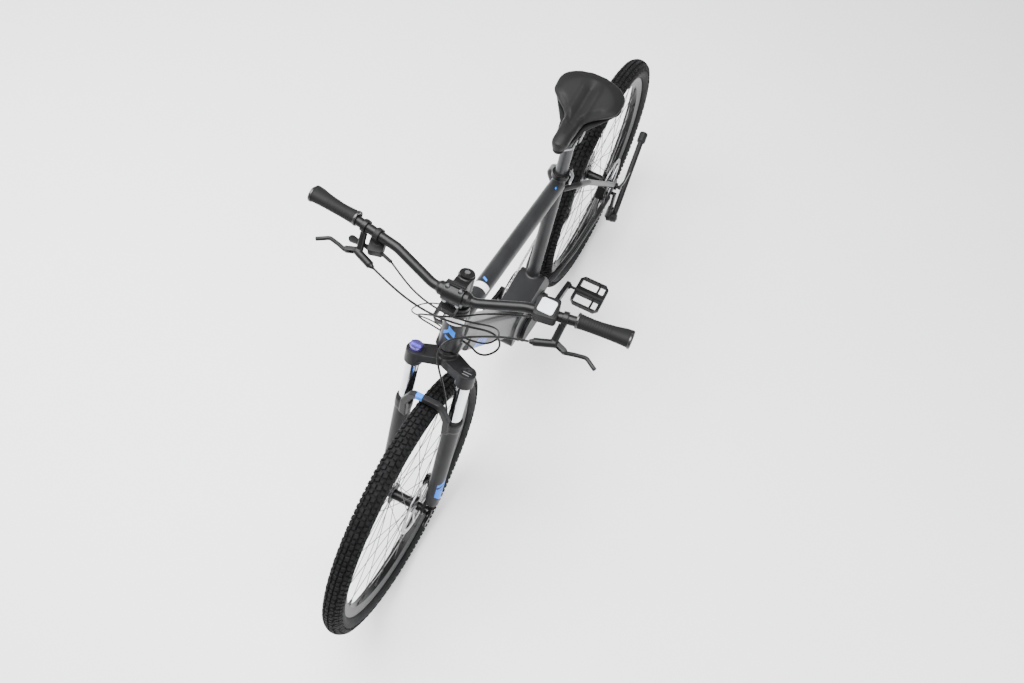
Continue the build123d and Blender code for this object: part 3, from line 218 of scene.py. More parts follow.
def applyModifiers(piece):
    depsgraph = bpy.context.evaluated_depsgraph_get()
    made = bpy.data.meshes.new_from_object(piece.evaluated_get(depsgraph))
    piece.modifiers.clear()
    piece.data = made
    made.polygons.foreach_set("use_smooth", np.full(len(made.polygons), True))


def meshPoints(mesh):
    flat = np.empty(len(mesh.vertices) * 3)
    mesh.vertices.foreach_get("co", flat)
    return flat.reshape(-1, 3)


def pointsOf(piece):
    return meshPoints(piece.data)


def setPoints(piece, points):
    piece.data.vertices.foreach_set("co", np.ravel(points))
    piece.data.update()


def fixNormals(piece):
    made = bmesh.new()
    made.from_mesh(piece.data)
    bmesh.ops.recalc_face_normals(made, faces=made.faces)
    made.to_mesh(piece.data)
    made.free()


# materials
def newMaterial(name):
    material = bpy.data.materials.new(name)
    material.use_nodes = True
    tree = material.node_tree
    tree.nodes.clear()
    output = tree.nodes.new("ShaderNodeOutputMaterial")
    shader = tree.nodes.new("ShaderNodeBsdfPrincipled")
    tree.links.new(shader.outputs[0], output.inputs[0])
    return material, tree, shader


def addNode(tree, kind, inputs=(), **settings):
    node = tree.nodes.new(kind)
    for key, value in settings.items():
        setattr(node, key, value)
    for key, value in dict(inputs).items():
        if isinstance(value, bpy.types.NodeSocket):
            tree.links.new(value, node.inputs[key])
        else:
            node.inputs[key].default_value = value
    return node


def objectPlace(tree):
    return addNode(tree, "ShaderNodeTexCoord").outputs["Object"]


def noise(tree, place, scale, detail=3.0, roughness=0.55):
    made = addNode(tree, "ShaderNodeTexNoise", {"Vector": place, "Scale": scale, "Detail": detail,
                                                "Roughness": roughness})
    return made.outputs["Fac"]


def spread(tree, value, low, high, fromLow=0.3, fromHigh=0.7):
    # a 0 to 1 pattern carried to a range
    made = addNode(tree, "ShaderNodeMapRange", {"Value": value, "From Min": fromLow, "From Max": fromHigh,
                                                "To Min": low, "To Max": high})
    return made.outputs["Result"]


def blendColours(tree, factor, first, second):
    made = addNode(tree, "ShaderNodeMix", data_type="RGBA")
    for key, value in ((0, factor), (6, first), (7, second)):
        if isinstance(value, bpy.types.NodeSocket):
            tree.links.new(value, made.inputs[key])
        else:
            made.inputs[key].default_value = value if key == 0 else (*value, 1.0)
    return made.outputs[2]


def maths(tree, operation, first, second=0.0, third=0.0):
    return addNode(tree, "ShaderNodeMath", {0: first, 1: second, 2: third}, operation=operation).outputs[0]


def finishMaterial(name, look, colourFrom=None, extraHeight=None):
    # mottled colour, uneven gloss and a fine grain, from one dictionary
    material, tree, shader = newMaterial(name)
    place = objectPlace(tree)
    broad = noise(tree, place, look.get("patches", 14.0))
    fine = noise(tree, place, look["grain"], 4.0)
    colour = np.array(look["colour"])
    tint = blendColours(tree, spread(tree, broad, 0.0, 1.0), tuple(colour * look.get("dark", 0.8)),
                        tuple(np.minimum(colour * look.get("light", 1.2), 1.0)))
    if colourFrom:
        tint = colourFrom(tree, place, tint)
    tree.links.new(tint, shader.inputs["Base Color"])
    rough = look["roughness"]
    gap = look.get("unevenness", 0.06)
    tree.links.new(spread(tree, fine, rough - gap, rough + gap), shader.inputs["Roughness"])
    shader.inputs["Metallic"].default_value = look.get("metallic", 0.0)
    shader.inputs["Coat Weight"].default_value = look.get("coat", 0.0)
    shader.inputs["Coat Roughness"].default_value = look.get("coatRoughness", 0.15)
    shader.inputs["Specular IOR Level"].default_value = look.get("shine", 0.5)
    height = extraHeight(tree, place, fine) if extraHeight else fine
    bump = addNode(tree, "ShaderNodeBump", {"Height": height, "Strength": look.get("bump", 0.15),
                                            "Distance": look.get("depth", 0.0004)})
    tree.links.new(bump.outputs["Normal"], shader.inputs["Normal"])
    return material


paintLook = {"colour": (0.0110, 0.0112, 0.0120), "grain": 2600.0, "roughness": 0.38, "metallic": 0.1,
             "coat": 0.08, "coatRoughness": 0.30, "bump": 0.05, "light": 1.35, "shine": 0.22}
forkLook = {"colour": (0.0085, 0.0085, 0.0092), "grain": 2400.0, "roughness": 0.44, "metallic": 0.1,
            "bump": 0.06, "light": 1.3, "shine": 0.20}
blackAlloyLook = {"colour": (0.0045, 0.0045, 0.0048), "grain": 3000.0, "roughness": 0.36, "metallic": 0.1,
                  "bump": 0.06, "shine": 0.20}
postLook = {"colour": (0.045, 0.046, 0.048), "grain": 2600.0, "roughness": 0.36, "metallic": 0.7,
            "bump": 0.05}
silverLook = {"colour": (0.55, 0.56, 0.58), "grain": 1800.0, "roughness": 0.30, "metallic": 1.0,
              "bump": 0.05}
steelLook = {"colour": (0.33, 0.33, 0.34), "grain": 1500.0, "roughness": 0.33, "metallic": 1.0,
             "bump": 0.08}
darkSteelLook = {"colour": (0.035, 0.035, 0.037), "grain": 1500.0, "roughness": 0.38, "metallic": 0.8,
                 "bump": 0.08}
chromeLook = {"colour": (0.72, 0.73, 0.76), "grain": 900.0, "roughness": 0.09, "unevenness": 0.02,
              "metallic": 1.0, "bump": 0.01}
motorLook = {"colour": (0.017, 0.0172, 0.019), "grain": 1500.0, "roughness": 0.52, "metallic": 0.3,
             "bump": 0.35, "shine": 0.20}
batteryLook = {"colour": (0.009, 0.009, 0.0098), "grain": 1700.0, "roughness": 0.50, "bump": 0.2,
               "shine": 0.16}
plasticLook = {"colour": (0.0055, 0.0055, 0.0058), "grain": 1700.0, "roughness": 0.50, "bump": 0.25,
               "shine": 0.15}
glossPlasticLook = {"colour": (0.009, 0.009, 0.0095), "grain": 1700.0, "roughness": 0.22, "bump": 0.03}
rubberLook = {"colour": (0.0048, 0.0048, 0.0050), "grain": 1300.0, "roughness": 0.62, "bump": 0.3,
              "shine": 0.14}
treadLook = {"colour": (0.0050, 0.0050, 0.0053), "grain": 900.0, "roughness": 0.70, "bump": 0.4,
             "shine": 0.10, "patches": 40.0, "dark": 0.7, "light": 1.5}
saddleFinish = {"colour": (0.0055, 0.0055, 0.0058), "grain": 2100.0, "roughness": 0.50, "bump": 0.35,
                "shine": 0.16, "depth": 0.0003}
hoseFinish = {"colour": (0.0035, 0.0035, 0.0037), "grain": 2200.0, "roughness": 0.34, "bump": 0.04,
              "shine": 0.20}
screenFinish = {"colour": (0.42, 0.43, 0.47), "grain": 500.0, "roughness": 0.12, "unevenness": 0.03,
                "dark": 0.9, "light": 1.1, "coat": 0.6, "bump": 0.01}
knobFinish = {"colour": (0.16, 0.13, 0.42), "grain": 1500.0, "roughness": 0.25, "metallic": 0.9,
              "bump": 0.03}

# painted marks: slanted blocks of colour, each on one side of a tube
blue = (0.002, 0.150, 0.66)
white = (0.72, 0.72, 0.74)
seatAhead = np.array([seatUp[2], 0.0, -seatUp[0]])
topTubeFront = atSteer(0, 0, 0.572)
topTubeBack = middleOf("seat_collar") * (1, 0, 1) - seatUp * 0.035
topWay = unit(topTubeBack - topTubeFront)
topUp = unit(np.cross(topWay, leftWay)) * np.sign(np.cross(topWay, leftWay)[2])
downFront = atSteer(0, 0, 0.542)
downWay = unit(np.array([-0.005, 0, 0.372]) - downFront)
downUnder = unit(np.cross(downWay, leftWay)) * np.sign(np.cross(downWay, leftWay)[0])
left = tuple(leftWay)
right = tuple(-leftWay)


def mark(centre, along, across, normal, halfLength, halfWidth, skew=0.0, colour=blue, depth=0.008):
    return {"centre": tuple(centre), "along": tuple(along), "across": tuple(across), "normal": tuple(normal),
            "halfLength": halfLength, "halfWidth": halfWidth, "skew": skew, "colour": colour, "depth": depth}


# each mark: centre, way along, way across, way it faces, half length, half width, skew, colour, depth
frameMarks = [
    mark(atSteer(0.026, 0.004, 0.603), steerUp, left, steerAhead, 0.0100, 0.022, 0.0, white, 0.016),
    mark(atSteer(0.026, 0.005, 0.573), steerUp, left, steerAhead, 0.0085, 0.0085, 0.9, blue, 0.010),
    mark(atSteer(0.026, -0.008, 0.568), steerUp, left, steerAhead, 0.0050, 0.0065, -0.9, blue, 0.010),
    mark(atSteer(0.026, 0.000, 0.553), steerUp, left, steerAhead, 0.0030, 0.0080, 0.5, blue, 0.010),
    mark(topTubeFront + topWay * 0.128 + topUp * 0.021, topWay, left, topUp, 0.0095, 0.026, 0.0,
         white, 0.012),
    mark(topTubeFront + topWay * 0.150 + topUp * 0.021, topWay, left, topUp, 0.0035, 0.006, 0.6,
         blue, 0.006),
    mark(topTubeFront + topWay * 0.080 + leftWay * 0.02, topWay, topUp, left, 0.005, 0.004, 1.0,
         blue, 0.008),
    mark(topTubeBack - topWay * 0.050 + topUp * 0.021 + leftWay * 0.008, topWay, left, topUp,
         0.004, 0.002, 0.8, blue, 0.010),
]
downTubeBars = ((0.150, 0.012), (0.178, 0.006), (0.200, 0.0035), (0.212, 0.0035), (0.224, 0.0035),
                (0.236, 0.0035))  # distance down the tube and half length
for side, facing, bars in ((1, left, downTubeBars), (-1, right, downTubeBars[:-1])):
    frameMarks += [mark(downFront + downWay * along + downUnder * 0.018 + leftWay * (0.03 * side),
                        downWay, downUnder, facing, halfLength, 0.012, 0.7, blue, 0.006)
                   for along, halfLength in bars]
seatTubeTop = middleOf("seat_collar") * (1, 0, 1)
seatTubeBars = ((0.075, 0.004, blue), (0.090, 0.004, blue), (0.104, 0.003, white))
frameMarks += [mark(seatTubeTop - seatUp * down + leftWay * 0.018, seatUp, seatAhead, left,
                    halfLength, 0.006, 0.6, colour, 0.006)
               for down, halfLength, colour in seatTubeBars]
forkMarks = [
    mark(atSteer(0.075, -0.018, 0.395), steerAhead, left, unit(steerUp + steerAhead * 0.4),
         0.0300, 0.0085, 0.0, blue, 0.060),
]
forkLegBars = ((0.055, 0.016, -0.9), (0.095, 0.005, 0.8), (0.112, 0.005, 0.8), (0.129, 0.005, 0.8))
for side in (1, -1):
    forkMarks += [mark(atSteer(0.020, side * 0.085, up), steerUp, steerAhead, leftWay * side,
                       halfLength, 0.030, slant, blue, 0.012)
                  for up, halfLength, slant in forkLegBars]


def paintMarks(marks):
    # a mark shows where a point's distances from its centre, along, across and outwards, are all inside it
    def colourFrom(tree, place, tint):
        for spot in marks:
            offset = addNode(tree, "ShaderNodeVectorMath", {0: place, 1: spot["centre"]},
                             operation="SUBTRACT").outputs[0]
            reach = {}
            for way in ("along", "across", "normal"):
                dot = addNode(tree, "ShaderNodeVectorMath", {0: offset, 1: spot[way]},
                              operation="DOT_PRODUCT")
                reach[way] = dot.outputs["Value"]
            slant = maths(tree, "MULTIPLY_ADD", reach["across"], spot["skew"], reach["along"])
            inside = maths(tree, "LESS_THAN", maths(tree, "ABSOLUTE", slant), spot["halfLength"])
            between = maths(tree, "LESS_THAN", maths(tree, "ABSOLUTE", reach["across"]), spot["halfWidth"])
            facing = maths(tree, "GREATER_THAN", reach["normal"], -spot["depth"])
            mask = maths(tree, "MULTIPLY", maths(tree, "MULTIPLY", inside, between), facing)
            tint = blendColours(tree, mask, tint, spot["colour"])
        return tint
    return colourFrom


material = {
    "paint": finishMaterial("framePaint", paintLook, paintMarks(frameMarks)),
    "forkPaint": finishMaterial("forkPaint", forkLook, paintMarks(forkMarks)),
    "blackAlloy": finishMaterial("blackAlloy", blackAlloyLook),
    "silver": finishMaterial("silverAlloy", silverLook),
    "steel": finishMaterial("steel", steelLook),
    "darkSteel": finishMaterial("darkSteel", darkSteelLook),
    "chrome": finishMaterial("stanchionChrome", chromeLook),
    "motor": finishMaterial("motorCasting", motorLook),
    "plastic": finishMaterial("blackPlastic", plasticLook),
    "glossPlastic": finishMaterial("glossPlastic", glossPlasticLook),
    "rubber": finishMaterial("gripRubber", rubberLook),
    "tread": finishMaterial("treadRubber", treadLook),
    "hose": finishMaterial("hoseBlack", hoseFinish),
    "saddle": finishMaterial("saddleCover", saddleFinish),
    "battery": finishMaterial("batteryCover", batteryLook),
    "postGrey": finishMaterial("postGrey", postLook),
    "screen": finishMaterial("displayGlass", screenFinish),
    "knob": finishMaterial("violetAnodised", knobFinish),
}
nodeFinish = {
    "paint": ["main_frame", "rear_triangle"],
    "forkPaint": ["fork_lowers"],
    "motor": ["motor"],
    "plastic": ["motor_covers", "battery", "saddle_shell", "left_pedal", "right_pedal",
                "upper_jockey_wheel", "lower_jockey_wheel", "shifter", "display", "light_bracket",
                "upshift_lever", "downshift_lever", "display_button", "saddle_pad"],
    "blackAlloy": ["headset_cups", "seat_collar", "rear_derailleur", "rear_brake_caliper",
                   "kickstand_bracket", "rear_axle", "kickstand", "rear_quick_release_lever",
                   "seatpost", "rear_rim", "front_rim", "rear_hub", "front_hub", "crank_arms",
                   "chainring", "fork_crown", "headset_spacers", "stem", "stem_faceplate",
                   "handlebar", "brake_lever_bodies", "left_brake_lever", "right_brake_lever",
                   "front_brake_caliper", "front_axle", "front_quick_release_lever"],
    "steel": ["chain", "saddle_rails", "cassette", "rear_rotor", "front_rotor", "stem_bolts"],
    "darkSteel": ["rear_spokes", "front_spokes"],
    "silver": ["seat_quick_release_lever"],
    "knob": ["lockout_knob"],
    "chrome": ["stanchions"],
    "rubber": ["grips"],
    "tread": ["front_tyre", "rear_tyre"],
    "hose": ["cables", "front_brake_hose"],
}
for finish, names in nodeFinish.items():
    for name in names:
        nodes[name].data.materials.clear()
        nodes[name].data.materials.append(material[finish])
print("finishes made:", len(material))

# tyres: a carcass turned round the axle, with knobs in a staggered pattern; angles across are in radians
tyreLook = {"middle": 0.3375, "halfHeight": 0.0245, "halfWidth": 0.0246, "wall": 0.0022, "bead": 2.6,
            "acrossSteps": 44, "aroundSteps": 168, "ribHeight": 0.0005,
            "ribs": ((1.75, 0.03), (2.35, 0.04)),  # angle across and width of each
            "pitches": 78, "knobHeight": 0.0055, "knobRise": (-0.15, 0.82, 1.0),
            "knobShrink": (1.0, 0.9, 0.74)}
# each knob in one pitch: share of the pitch, angle across, half length, half width, height share, skew
knobPattern = [(0.00, 0.22, 0.0062, 0.0045, 1.0, 0.30), (0.00, -0.22, 0.0062, 0.0045, 1.0, -0.30),
               (0.50, 0.20, 0.0048, 0.0036, 1.0, -0.30), (0.50, -0.20, 0.0048, 0.0036, 1.0, 0.30),
               (0.22, 0.66, 0.0056, 0.0046, 0.95, -0.35), (0.22, -0.66, 0.0056, 0.0046, 0.95, 0.35),
               (0.74, 0.68, 0.0050, 0.0040, 0.95, 0.20), (0.74, -0.68, 0.0050, 0.0040, 0.95, -0.20),
               (0.00, 1.08, 0.0060, 0.0050, 0.62, 0.0), (0.00, -1.08, 0.0060, 0.0050, 0.62, 0.0),
               (0.50, 1.16, 0.0052, 0.0066, 0.55, 0.0), (0.50, -1.16, 0.0052, 0.0066, 0.55, 0.0)]


def tyreSurface(axle, around, across, lift):
    # an ellipse across the tyre, carried round the axle: around is the wheel's angle, across the section's
    radius = tyreLook["middle"] + (tyreLook["halfHeight"] + lift) * np.cos(across)
    side = (tyreLook["halfWidth"] + lift) * np.sin(across)
    parts = np.broadcast_arrays(radius * np.cos(around), side, radius * np.sin(around))
    return axle + np.stack(parts, axis=-1)


def makeTyre(name, axle, body, node):
    outer = np.linspace(-tyreLook["bead"], tyreLook["bead"], tyreLook["acrossSteps"])
    inner = outer[::-1][1:-1] * 0.96  # the inner wall stops short of the beads
    across = np.concatenate([outer, inner])
    rib = tyreLook["ribHeight"] * sum(np.exp(-((np.abs(outer) - place) / width) ** 2)
                                      for place, width in tyreLook["ribs"])
    lift = np.concatenate([rib, np.full(len(inner), -tyreLook["wall"])])
    around = np.linspace(0, 2 * math.pi, tyreLook["aroundSteps"], endpoint=False)
    carcass = tyreSurface(axle, around[:, None], across[None], lift[None]).reshape(-1, 3)
    faces = gridFaces(len(around), len(across), True, True)[:, ::-1]
    share, angle, halfLength, halfWidth, height, skew = (column[None, :, None, None]
                                                         for column in np.array(knobPattern).T)
    pitch = 2 * math.pi / tyreLook["pitches"]
    first = (np.arange(tyreLook["pitches"]) * pitch)[:, None, None, None]
    # each knob is three rings of four corners, which rise and draw in towards its top
    lengthways = np.array([-1, 1, 1, -1])[None, None, None, :]
    widthways = np.array([-1, -1, 1, 1])[None, None, None, :]
    rise = np.array(tyreLook["knobRise"])[None, None, :, None]
    shrink = np.array(tyreLook["knobShrink"])[None, None, :, None]
    sidePlace = widthways * halfWidth * shrink
    place = lengthways * halfLength * shrink + skew * sidePlace
    knobAround = first + share * pitch + place / (tyreLook["middle"] + tyreLook["halfHeight"])
    knobAcross = angle + sidePlace / tyreLook["halfWidth"] + np.zeros_like(knobAround)
    knobLift = tyreLook["knobHeight"] * height * rise + np.zeros_like(knobAround)
    knobs = tyreSurface(axle, knobAround, knobAcross, knobLift).reshape(-1, 3)
    shell = [(0, 1, 5, 4), (1, 2, 6, 5), (2, 3, 7, 6), (3, 0, 4, 7), (4, 5, 9, 8), (5, 6, 10, 9),
             (6, 7, 11, 10), (7, 4, 8, 11), (8, 9, 10, 11), (3, 2, 1, 0)]
    starts = np.arange(len(knobs) // 12)[:, None, None] * 12
    knobFaces = (np.array(shell)[None] + starts).reshape(-1, 4) + len(carcass)
    piece = makePiece(name, np.concatenate([carcass, knobs]), np.concatenate([faces, knobFaces]),
                      material["tread"], body, (node,))
    onCarcass = np.arange(len(piece.data.polygons)) < len(faces)
    piece.data.polygons.foreach_set("use_smooth", onCarcass)


makeTyre("frontTyreTread", frontAxle, "front_wheel", "front_tyre")
makeTyre("rearTyreTread", rearAxle, "rear_wheel", "rear_tyre")
print("tyres made")

# saddle: a closed form swollen by cloth pressure, then a sunk channel and a sewn line
saddleLook = {
    "sections": 72, "around": 64, "voxel": 0.0042, "pressure": 4.0, "frames": 20, "cap": 0.006,
    "wing": 0.0945, "waist": 0.033, "nose": 0.023,  # half widths
    "wingEnd": 0.074, "wingRun": 0.090, "waistEnd": 0.165, "waistRun": 0.09,  # distances from the tail
    "tailRound": 0.060, "tailPower": 2.6, "noseStart": 0.238, "noseRound": 0.024,
    "dip": 0.007, "underTop": 0.004, "overFoot": 0.0015,
    "channel": 0.0045, "channelWidth": 0.0085, "ridge": 0.0022, "ridgePlace": 0.021, "ridgeWidth": 0.007,
    "seam": 0.0012, "seamHeight": 0.009, "seamWidth": 0.0014,
}
saddleLow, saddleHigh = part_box("saddle_pad")


def saddleHalfWidth(fromTail):
    # wide wings that draw in to a waist and a narrow nose, with both ends rounded off
    look = saddleLook
    ease = np.clip((fromTail - look["wingEnd"]) / look["wingRun"], 0, 1)
    width = look["waist"] + (look["wing"] - look["waist"]) * (1 - ease ** 2 * (3 - 2 * ease))
    narrowing = np.clip((fromTail - look["waistEnd"]) / look["waistRun"], 0, 1)
    width = width - (look["waist"] - look["nose"]) * narrowing
    power = look["tailPower"]
    tail = np.clip(1 - np.clip(1 - fromTail / look["tailRound"], 0, 1) ** power, 0, 1) ** (1 / power)
    noseShare = np.clip((fromTail - look["noseStart"]) / look["noseRound"], 0, 1)
    return width * tail * np.sqrt(np.clip(1 - noseShare ** 2, 0, 1))


def makeSaddle():
    length = saddleHigh[0] - saddleLow[0]
    shrink = saddleLook["cap"] * 0.45  # room for the cloth to swell into
    around = saddleLook["around"]
    # cosine steps along put more sections at the rounded ends
    step = np.linspace(0.06, math.pi - 0.06, saddleLook["sections"])
    fromTail = length * (0.5 - 0.5 * np.cos(step))
    turn = np.linspace(0, 2 * math.pi, around, endpoint=False)
    width = np.maximum(saddleHalfWidth(fromTail) - shrink, 0.004)[:, None]
    dip = saddleLook["dip"] * np.sin(math.pi * fromTail / length)[:, None] ** 2
    upper = saddleHigh[2] - saddleLook["underTop"] - dip
    lower = saddleLow[2] + saddleLook["overFoot"]
    middle, half = (upper + lower) / 2, (upper - lower) / 2
    # each section is a rounded box: powers of the cosine and sine below 1 fill out its corners
    cosine, sine = np.cos(turn)[None], np.sin(turn)[None]
    across = width * np.sign(cosine) * np.abs(cosine) ** 0.62
    high = middle + half * np.sign(sine) * np.abs(sine) ** np.where(sine > 0, 0.72, 0.5)
    x = saddleLow[0] + np.clip(fromTail, shrink, length - shrink)[:, None] + 0 * across
    points = np.stack([x, across, high + 0 * across], axis=-1).reshape(-1, 3)
    faces = [tuple(face) for face in gridFaces(len(fromTail), around, False, True)[:, ::-1]]
    last = (len(fromTail) - 1) * around
    faces += [tuple(range(around)), tuple(range(last, last + around))[::-1]]
    piece = makePiece("saddleCover", points, faces, material["saddle"], "seat", ("saddle_pad",))
    remesh = piece.modifiers.new("evenCloth", "REMESH")
    remesh.mode, remesh.voxel_size = "VOXEL", saddleLook["voxel"]
    applyModifiers(piece)
    before = pointsOf(piece)
    cloth = piece.modifiers.new("swell", "CLOTH")
    cloth.settings.use_pressure = True
    cloth.settings.uniform_pressure_force = saddleLook["pressure"]
    cloth.settings.effector_weights.gravity = 0
    cloth.point_cache.frame_end = saddleLook["frames"]
    for number in range(1, saddleLook["frames"] + 1):
        bpy.context.scene.frame_set(number)
    applyModifiers(piece)
    bpy.context.scene.frame_set(1)
    move = pointsOf(piece) - before
    far = np.maximum(np.linalg.norm(move, axis=1, keepdims=True) / saddleLook["cap"], 1)
    setPoints(piece, before + move / far)
    piece.modifiers.new("round", "SUBSURF").levels = 1
    piece.modifiers["round"].render_levels = 1
    applyModifiers(piece)
    points = pointsOf(piece)
    fromTail = points[:, 0] - saddleLow[0]
    upperFace = np.clip((points[:, 2] - (saddleLow[2] + 0.016)) / 0.008, 0, 1)
    along = np.clip((fromTail - 0.030) / 0.03, 0, 1) * np.clip((length - 0.045 - fromTail) / 0.04, 0, 1)
    # the channel is a bell-shaped hollow on the middle line, between two raised ridges
    hollow = np.exp(-(points[:, 1] / saddleLook["channelWidth"]) ** 2)
    points[:, 2] -= saddleLook["channel"] * upperFace * along * hollow
    ridge = np.exp(-((np.abs(points[:, 1]) - saddleLook["ridgePlace"]) / saddleLook["ridgeWidth"]) ** 2)
    points[:, 2] += saddleLook["ridge"] * upperFace * along * ridge
    # the seam runs round the side at one height, and the cover draws in along it
    nearSide = saddleHalfWidth(fromTail) * 0.55 < np.abs(points[:, 1])
    side = nearSide | (fromTail > length - 0.02) | (fromTail < 0.02)
    overSeam = points[:, 2] - saddleLow[2] - saddleLook["seamHeight"]
    seam = saddleLook["seam"] * side * np.exp(-(overSeam / saddleLook["seamWidth"]) ** 2)
    points[:, 1] -= seam * np.sign(points[:, 1])
    points[:, 2] = np.clip(points[:, 2], saddleLow[2] + 0.0003, saddleHigh[2] + 0.004)
    setPoints(piece, points)


makeSaddle()
print("saddle made")


# grips: a waisted sleeve with a palm rest that flares outwards, with rings at both ends
gripLook = {
    "inner": 0.0142, "outer": 0.0160, "rest": 0.0090, "ribs": 22, "ribHeight": 0.0007,
    "sections": 110, "around": 56, "ringPlaces": (0.012, 0.972),
    "ring": ((-0.003, 0.0120), (-0.003, 0.0166), (-0.0022, 0.0174), (0.0022, 0.0174), (0.003, 0.0166),
             (0.003, 0.0120)),
}


def makeGrips():
    cad = pointsOf(nodes["grips"])
    sections, around = gripLook["sections"], gripLook["around"]
    for name, side in (("leftGrip", 1), ("rightGrip", -1)):
        half = cad[cad[:, 1] * side > 0]
        reach = half[:, 1] * side
        outer = half[reach > reach.max() - 0.004].mean(axis=0)
        inner = half[reach < reach.min() + 0.004].mean(axis=0)
        way = unit(outer - inner)
        length = np.linalg.norm(outer - inner)
        up = unit(np.cross(way * side, [-1.0, 0.0, 0.0]))
        back = np.cross(up, way * side)
        back = back * (-1 if back[0] > 0 else 1)
        along = np.linspace(0, 1, sections)[:, None]
        angle = np.linspace(0, 2 * math.pi, around, endpoint=False)[None]
        # the radius swells to both ends, carries fine ribs, and grows towards the rear where the palm lies
        radius = gripLook["inner"] + (gripLook["outer"] - gripLook["inner"]) * (2 * along - 1) ** 2
        ribs = np.maximum(np.sin(along * 2 * math.pi * gripLook["ribs"]), 0) * (along > 0.05) * (along < 0.62)
        palm = np.clip(np.cos(angle), 0, 1) ** 2.2 * np.clip((along - 0.25) / 0.6, 0, 1) ** 1.5
        ends = np.clip(np.minimum(along, 1 - along) / 0.02, 0, 1) ** 0.5
        radius = radius + gripLook["ribHeight"] * ribs + gripLook["rest"] * palm
        radius = radius * (0.80 + 0.20 * ends)
        spine = inner + (outer - inner) * along
        flatter = 1 - 0.25 * np.clip(palm, 0, 1)
        points = (spine[:, None] + (radius * np.cos(angle))[..., None] * back
                  + (radius * flatter * np.sin(angle))[..., None] * up).reshape(-1, 3)
        faces = [tuple(face) for face in gridFaces(sections, around, False, True)]
        faces += [tuple(range(around))[::-1], tuple(range((sections - 1) * around, sections * around))]
        piece = makePiece(name, points, faces, material["rubber"], "steering", ("grips",))
        fixNormals(piece)
        rings = [turned(inner + way * (length * share), way, gripLook["ring"])
                 for share in gripLook["ringPlaces"]]
        lock = makePiece(name + "Rings", *joinParts(rings), material["glossPlastic"], "steering", ("grips",))
        fixNormals(lock)


makeGrips()
print("grips made")

# hoses and cables: smooth lines near the routes' points, with a tube along each
leftPort = atSteer(0.0, 0.029, 0.546)
rightPort = atSteer(0.0, -0.029, 0.546)
frontHoseHigh = [(0.3464, 0.1832, 1.011), (0.351, 0.150, 1.003), (0.353, 0.112, 0.978), (0.358, 0.058, 0.938),
                 (0.368, 0.008, 0.897)]
frontHoseLow = [(0.045, -0.012, 0.519), (0.040, 0.001, 0.470), (0.031, 0.018, 0.420), (0.024, 0.036, 0.358),
                (0.010, 0.042, 0.300), (0.004, 0.045, 0.245), (0.002, 0.045, 0.190), (-0.006, 0.042, 0.140),
                (-0.014, 0.038, 0.096), (-0.0044, 0.038, 0.0746)]
hoseRuns = {
    "frontBrakeHose": {"radius": 0.0025, "bodies": ("lowers", "steering"), "node": "front_brake_hose",
                       "route": frontHoseHigh + [tuple(atSteer(*place)) for place in frontHoseLow]},
    "rearBrakeHose": {"radius": 0.0025, "bodies": ("frame", "steering"), "node": "cables",
                      "route": [(0.3464, -0.1832, 1.011), (0.358, -0.140, 1.001), (0.367, -0.092, 0.989),
                                (0.369, -0.042, 0.977), (0.363, 0.008, 0.969), (0.350, 0.053, 0.962),
                                (0.333, 0.088, 0.949), (0.324, 0.110, 0.920), (0.331, 0.116, 0.888),
                                (0.348, 0.096, 0.866), (0.351, 0.072, 0.857), (0.340, 0.050, 0.857),
                                tuple(leftPort + (0.004, 0.0008, -0.001))]},
    "shiftCable": {"radius": 0.0022, "bodies": ("frame", "steering"), "node": "cables",
                   "route": [(0.3202, -0.1527, 1.020), (0.339, -0.112, 1.006), (0.353, -0.068, 0.996),
                             (0.358, -0.022, 0.988), (0.354, 0.022, 0.980), (0.342, 0.060, 0.972),
                             (0.324, 0.088, 0.956), (0.311, 0.102, 0.928), (0.311, 0.104, 0.897),
                             (0.324, 0.088, 0.874), (0.331, 0.060, 0.866),
                             tuple(leftPort + (-0.003, 0.0005, 0.003))]},
    "displayCable": {"radius": 0.0020, "bodies": ("frame", "steering"), "node": "cables",
                     "route": [(0.3074, 0.1687, 1.0415), (0.314, 0.134, 1.028), (0.318, 0.098, 1.008),
                               (0.323, 0.062, 0.985), (0.331, 0.030, 0.960), (0.341, -0.002, 0.945),
                               (0.350, -0.036, 0.937), (0.351, -0.066, 0.920), (0.346, -0.082, 0.895),
                               (0.339, -0.070, 0.870), (0.336, -0.050, 0.860),
                               tuple(rightPort + (0.004, -0.0005, 0.0))]},
    "lightCable": {"radius": 0.0016, "bodies": ("frame", "steering"), "node": "cables",
                   "route": [(0.334, -0.0225, 0.972), (0.339, -0.048, 0.967), (0.348, -0.074, 0.950),
                             (0.352, -0.092, 0.921), (0.344, -0.092, 0.890), (0.334, -0.070, 0.874),
                             (0.330, -0.050, 0.868), tuple(rightPort + (-0.003, -0.0005, 0.004))]},
    "rearHoseTail": {"radius": 0.0025, "bodies": ("frame",), "node": "cables",
                     "route": [(-0.192, 0.032, 0.345), (-0.213, 0.032, 0.345), (-0.250, 0.047, 0.344),
                               (-0.300, 0.057, 0.350), (-0.355, 0.063, 0.356), (-0.410, 0.067, 0.362),
                               (-0.448, 0.066, 0.372), (-0.478, 0.058, 0.397), (-0.4954, 0.058, 0.3914)]},
    "derailleurCable": {"radius": 0.0022, "bodies": ("frame",), "node": "cables",
                        "route": [(-0.187, -0.032, 0.314), (-0.213, -0.032, 0.314), (-0.250, -0.047, 0.319),
                                  (-0.305, -0.057, 0.327), (-0.360, -0.063, 0.333), (-0.420, -0.067, 0.340),
                                  (-0.480, -0.074, 0.346), (-0.530, -0.081, 0.338),
                                  (-0.5614, -0.082, 0.326)]},
}


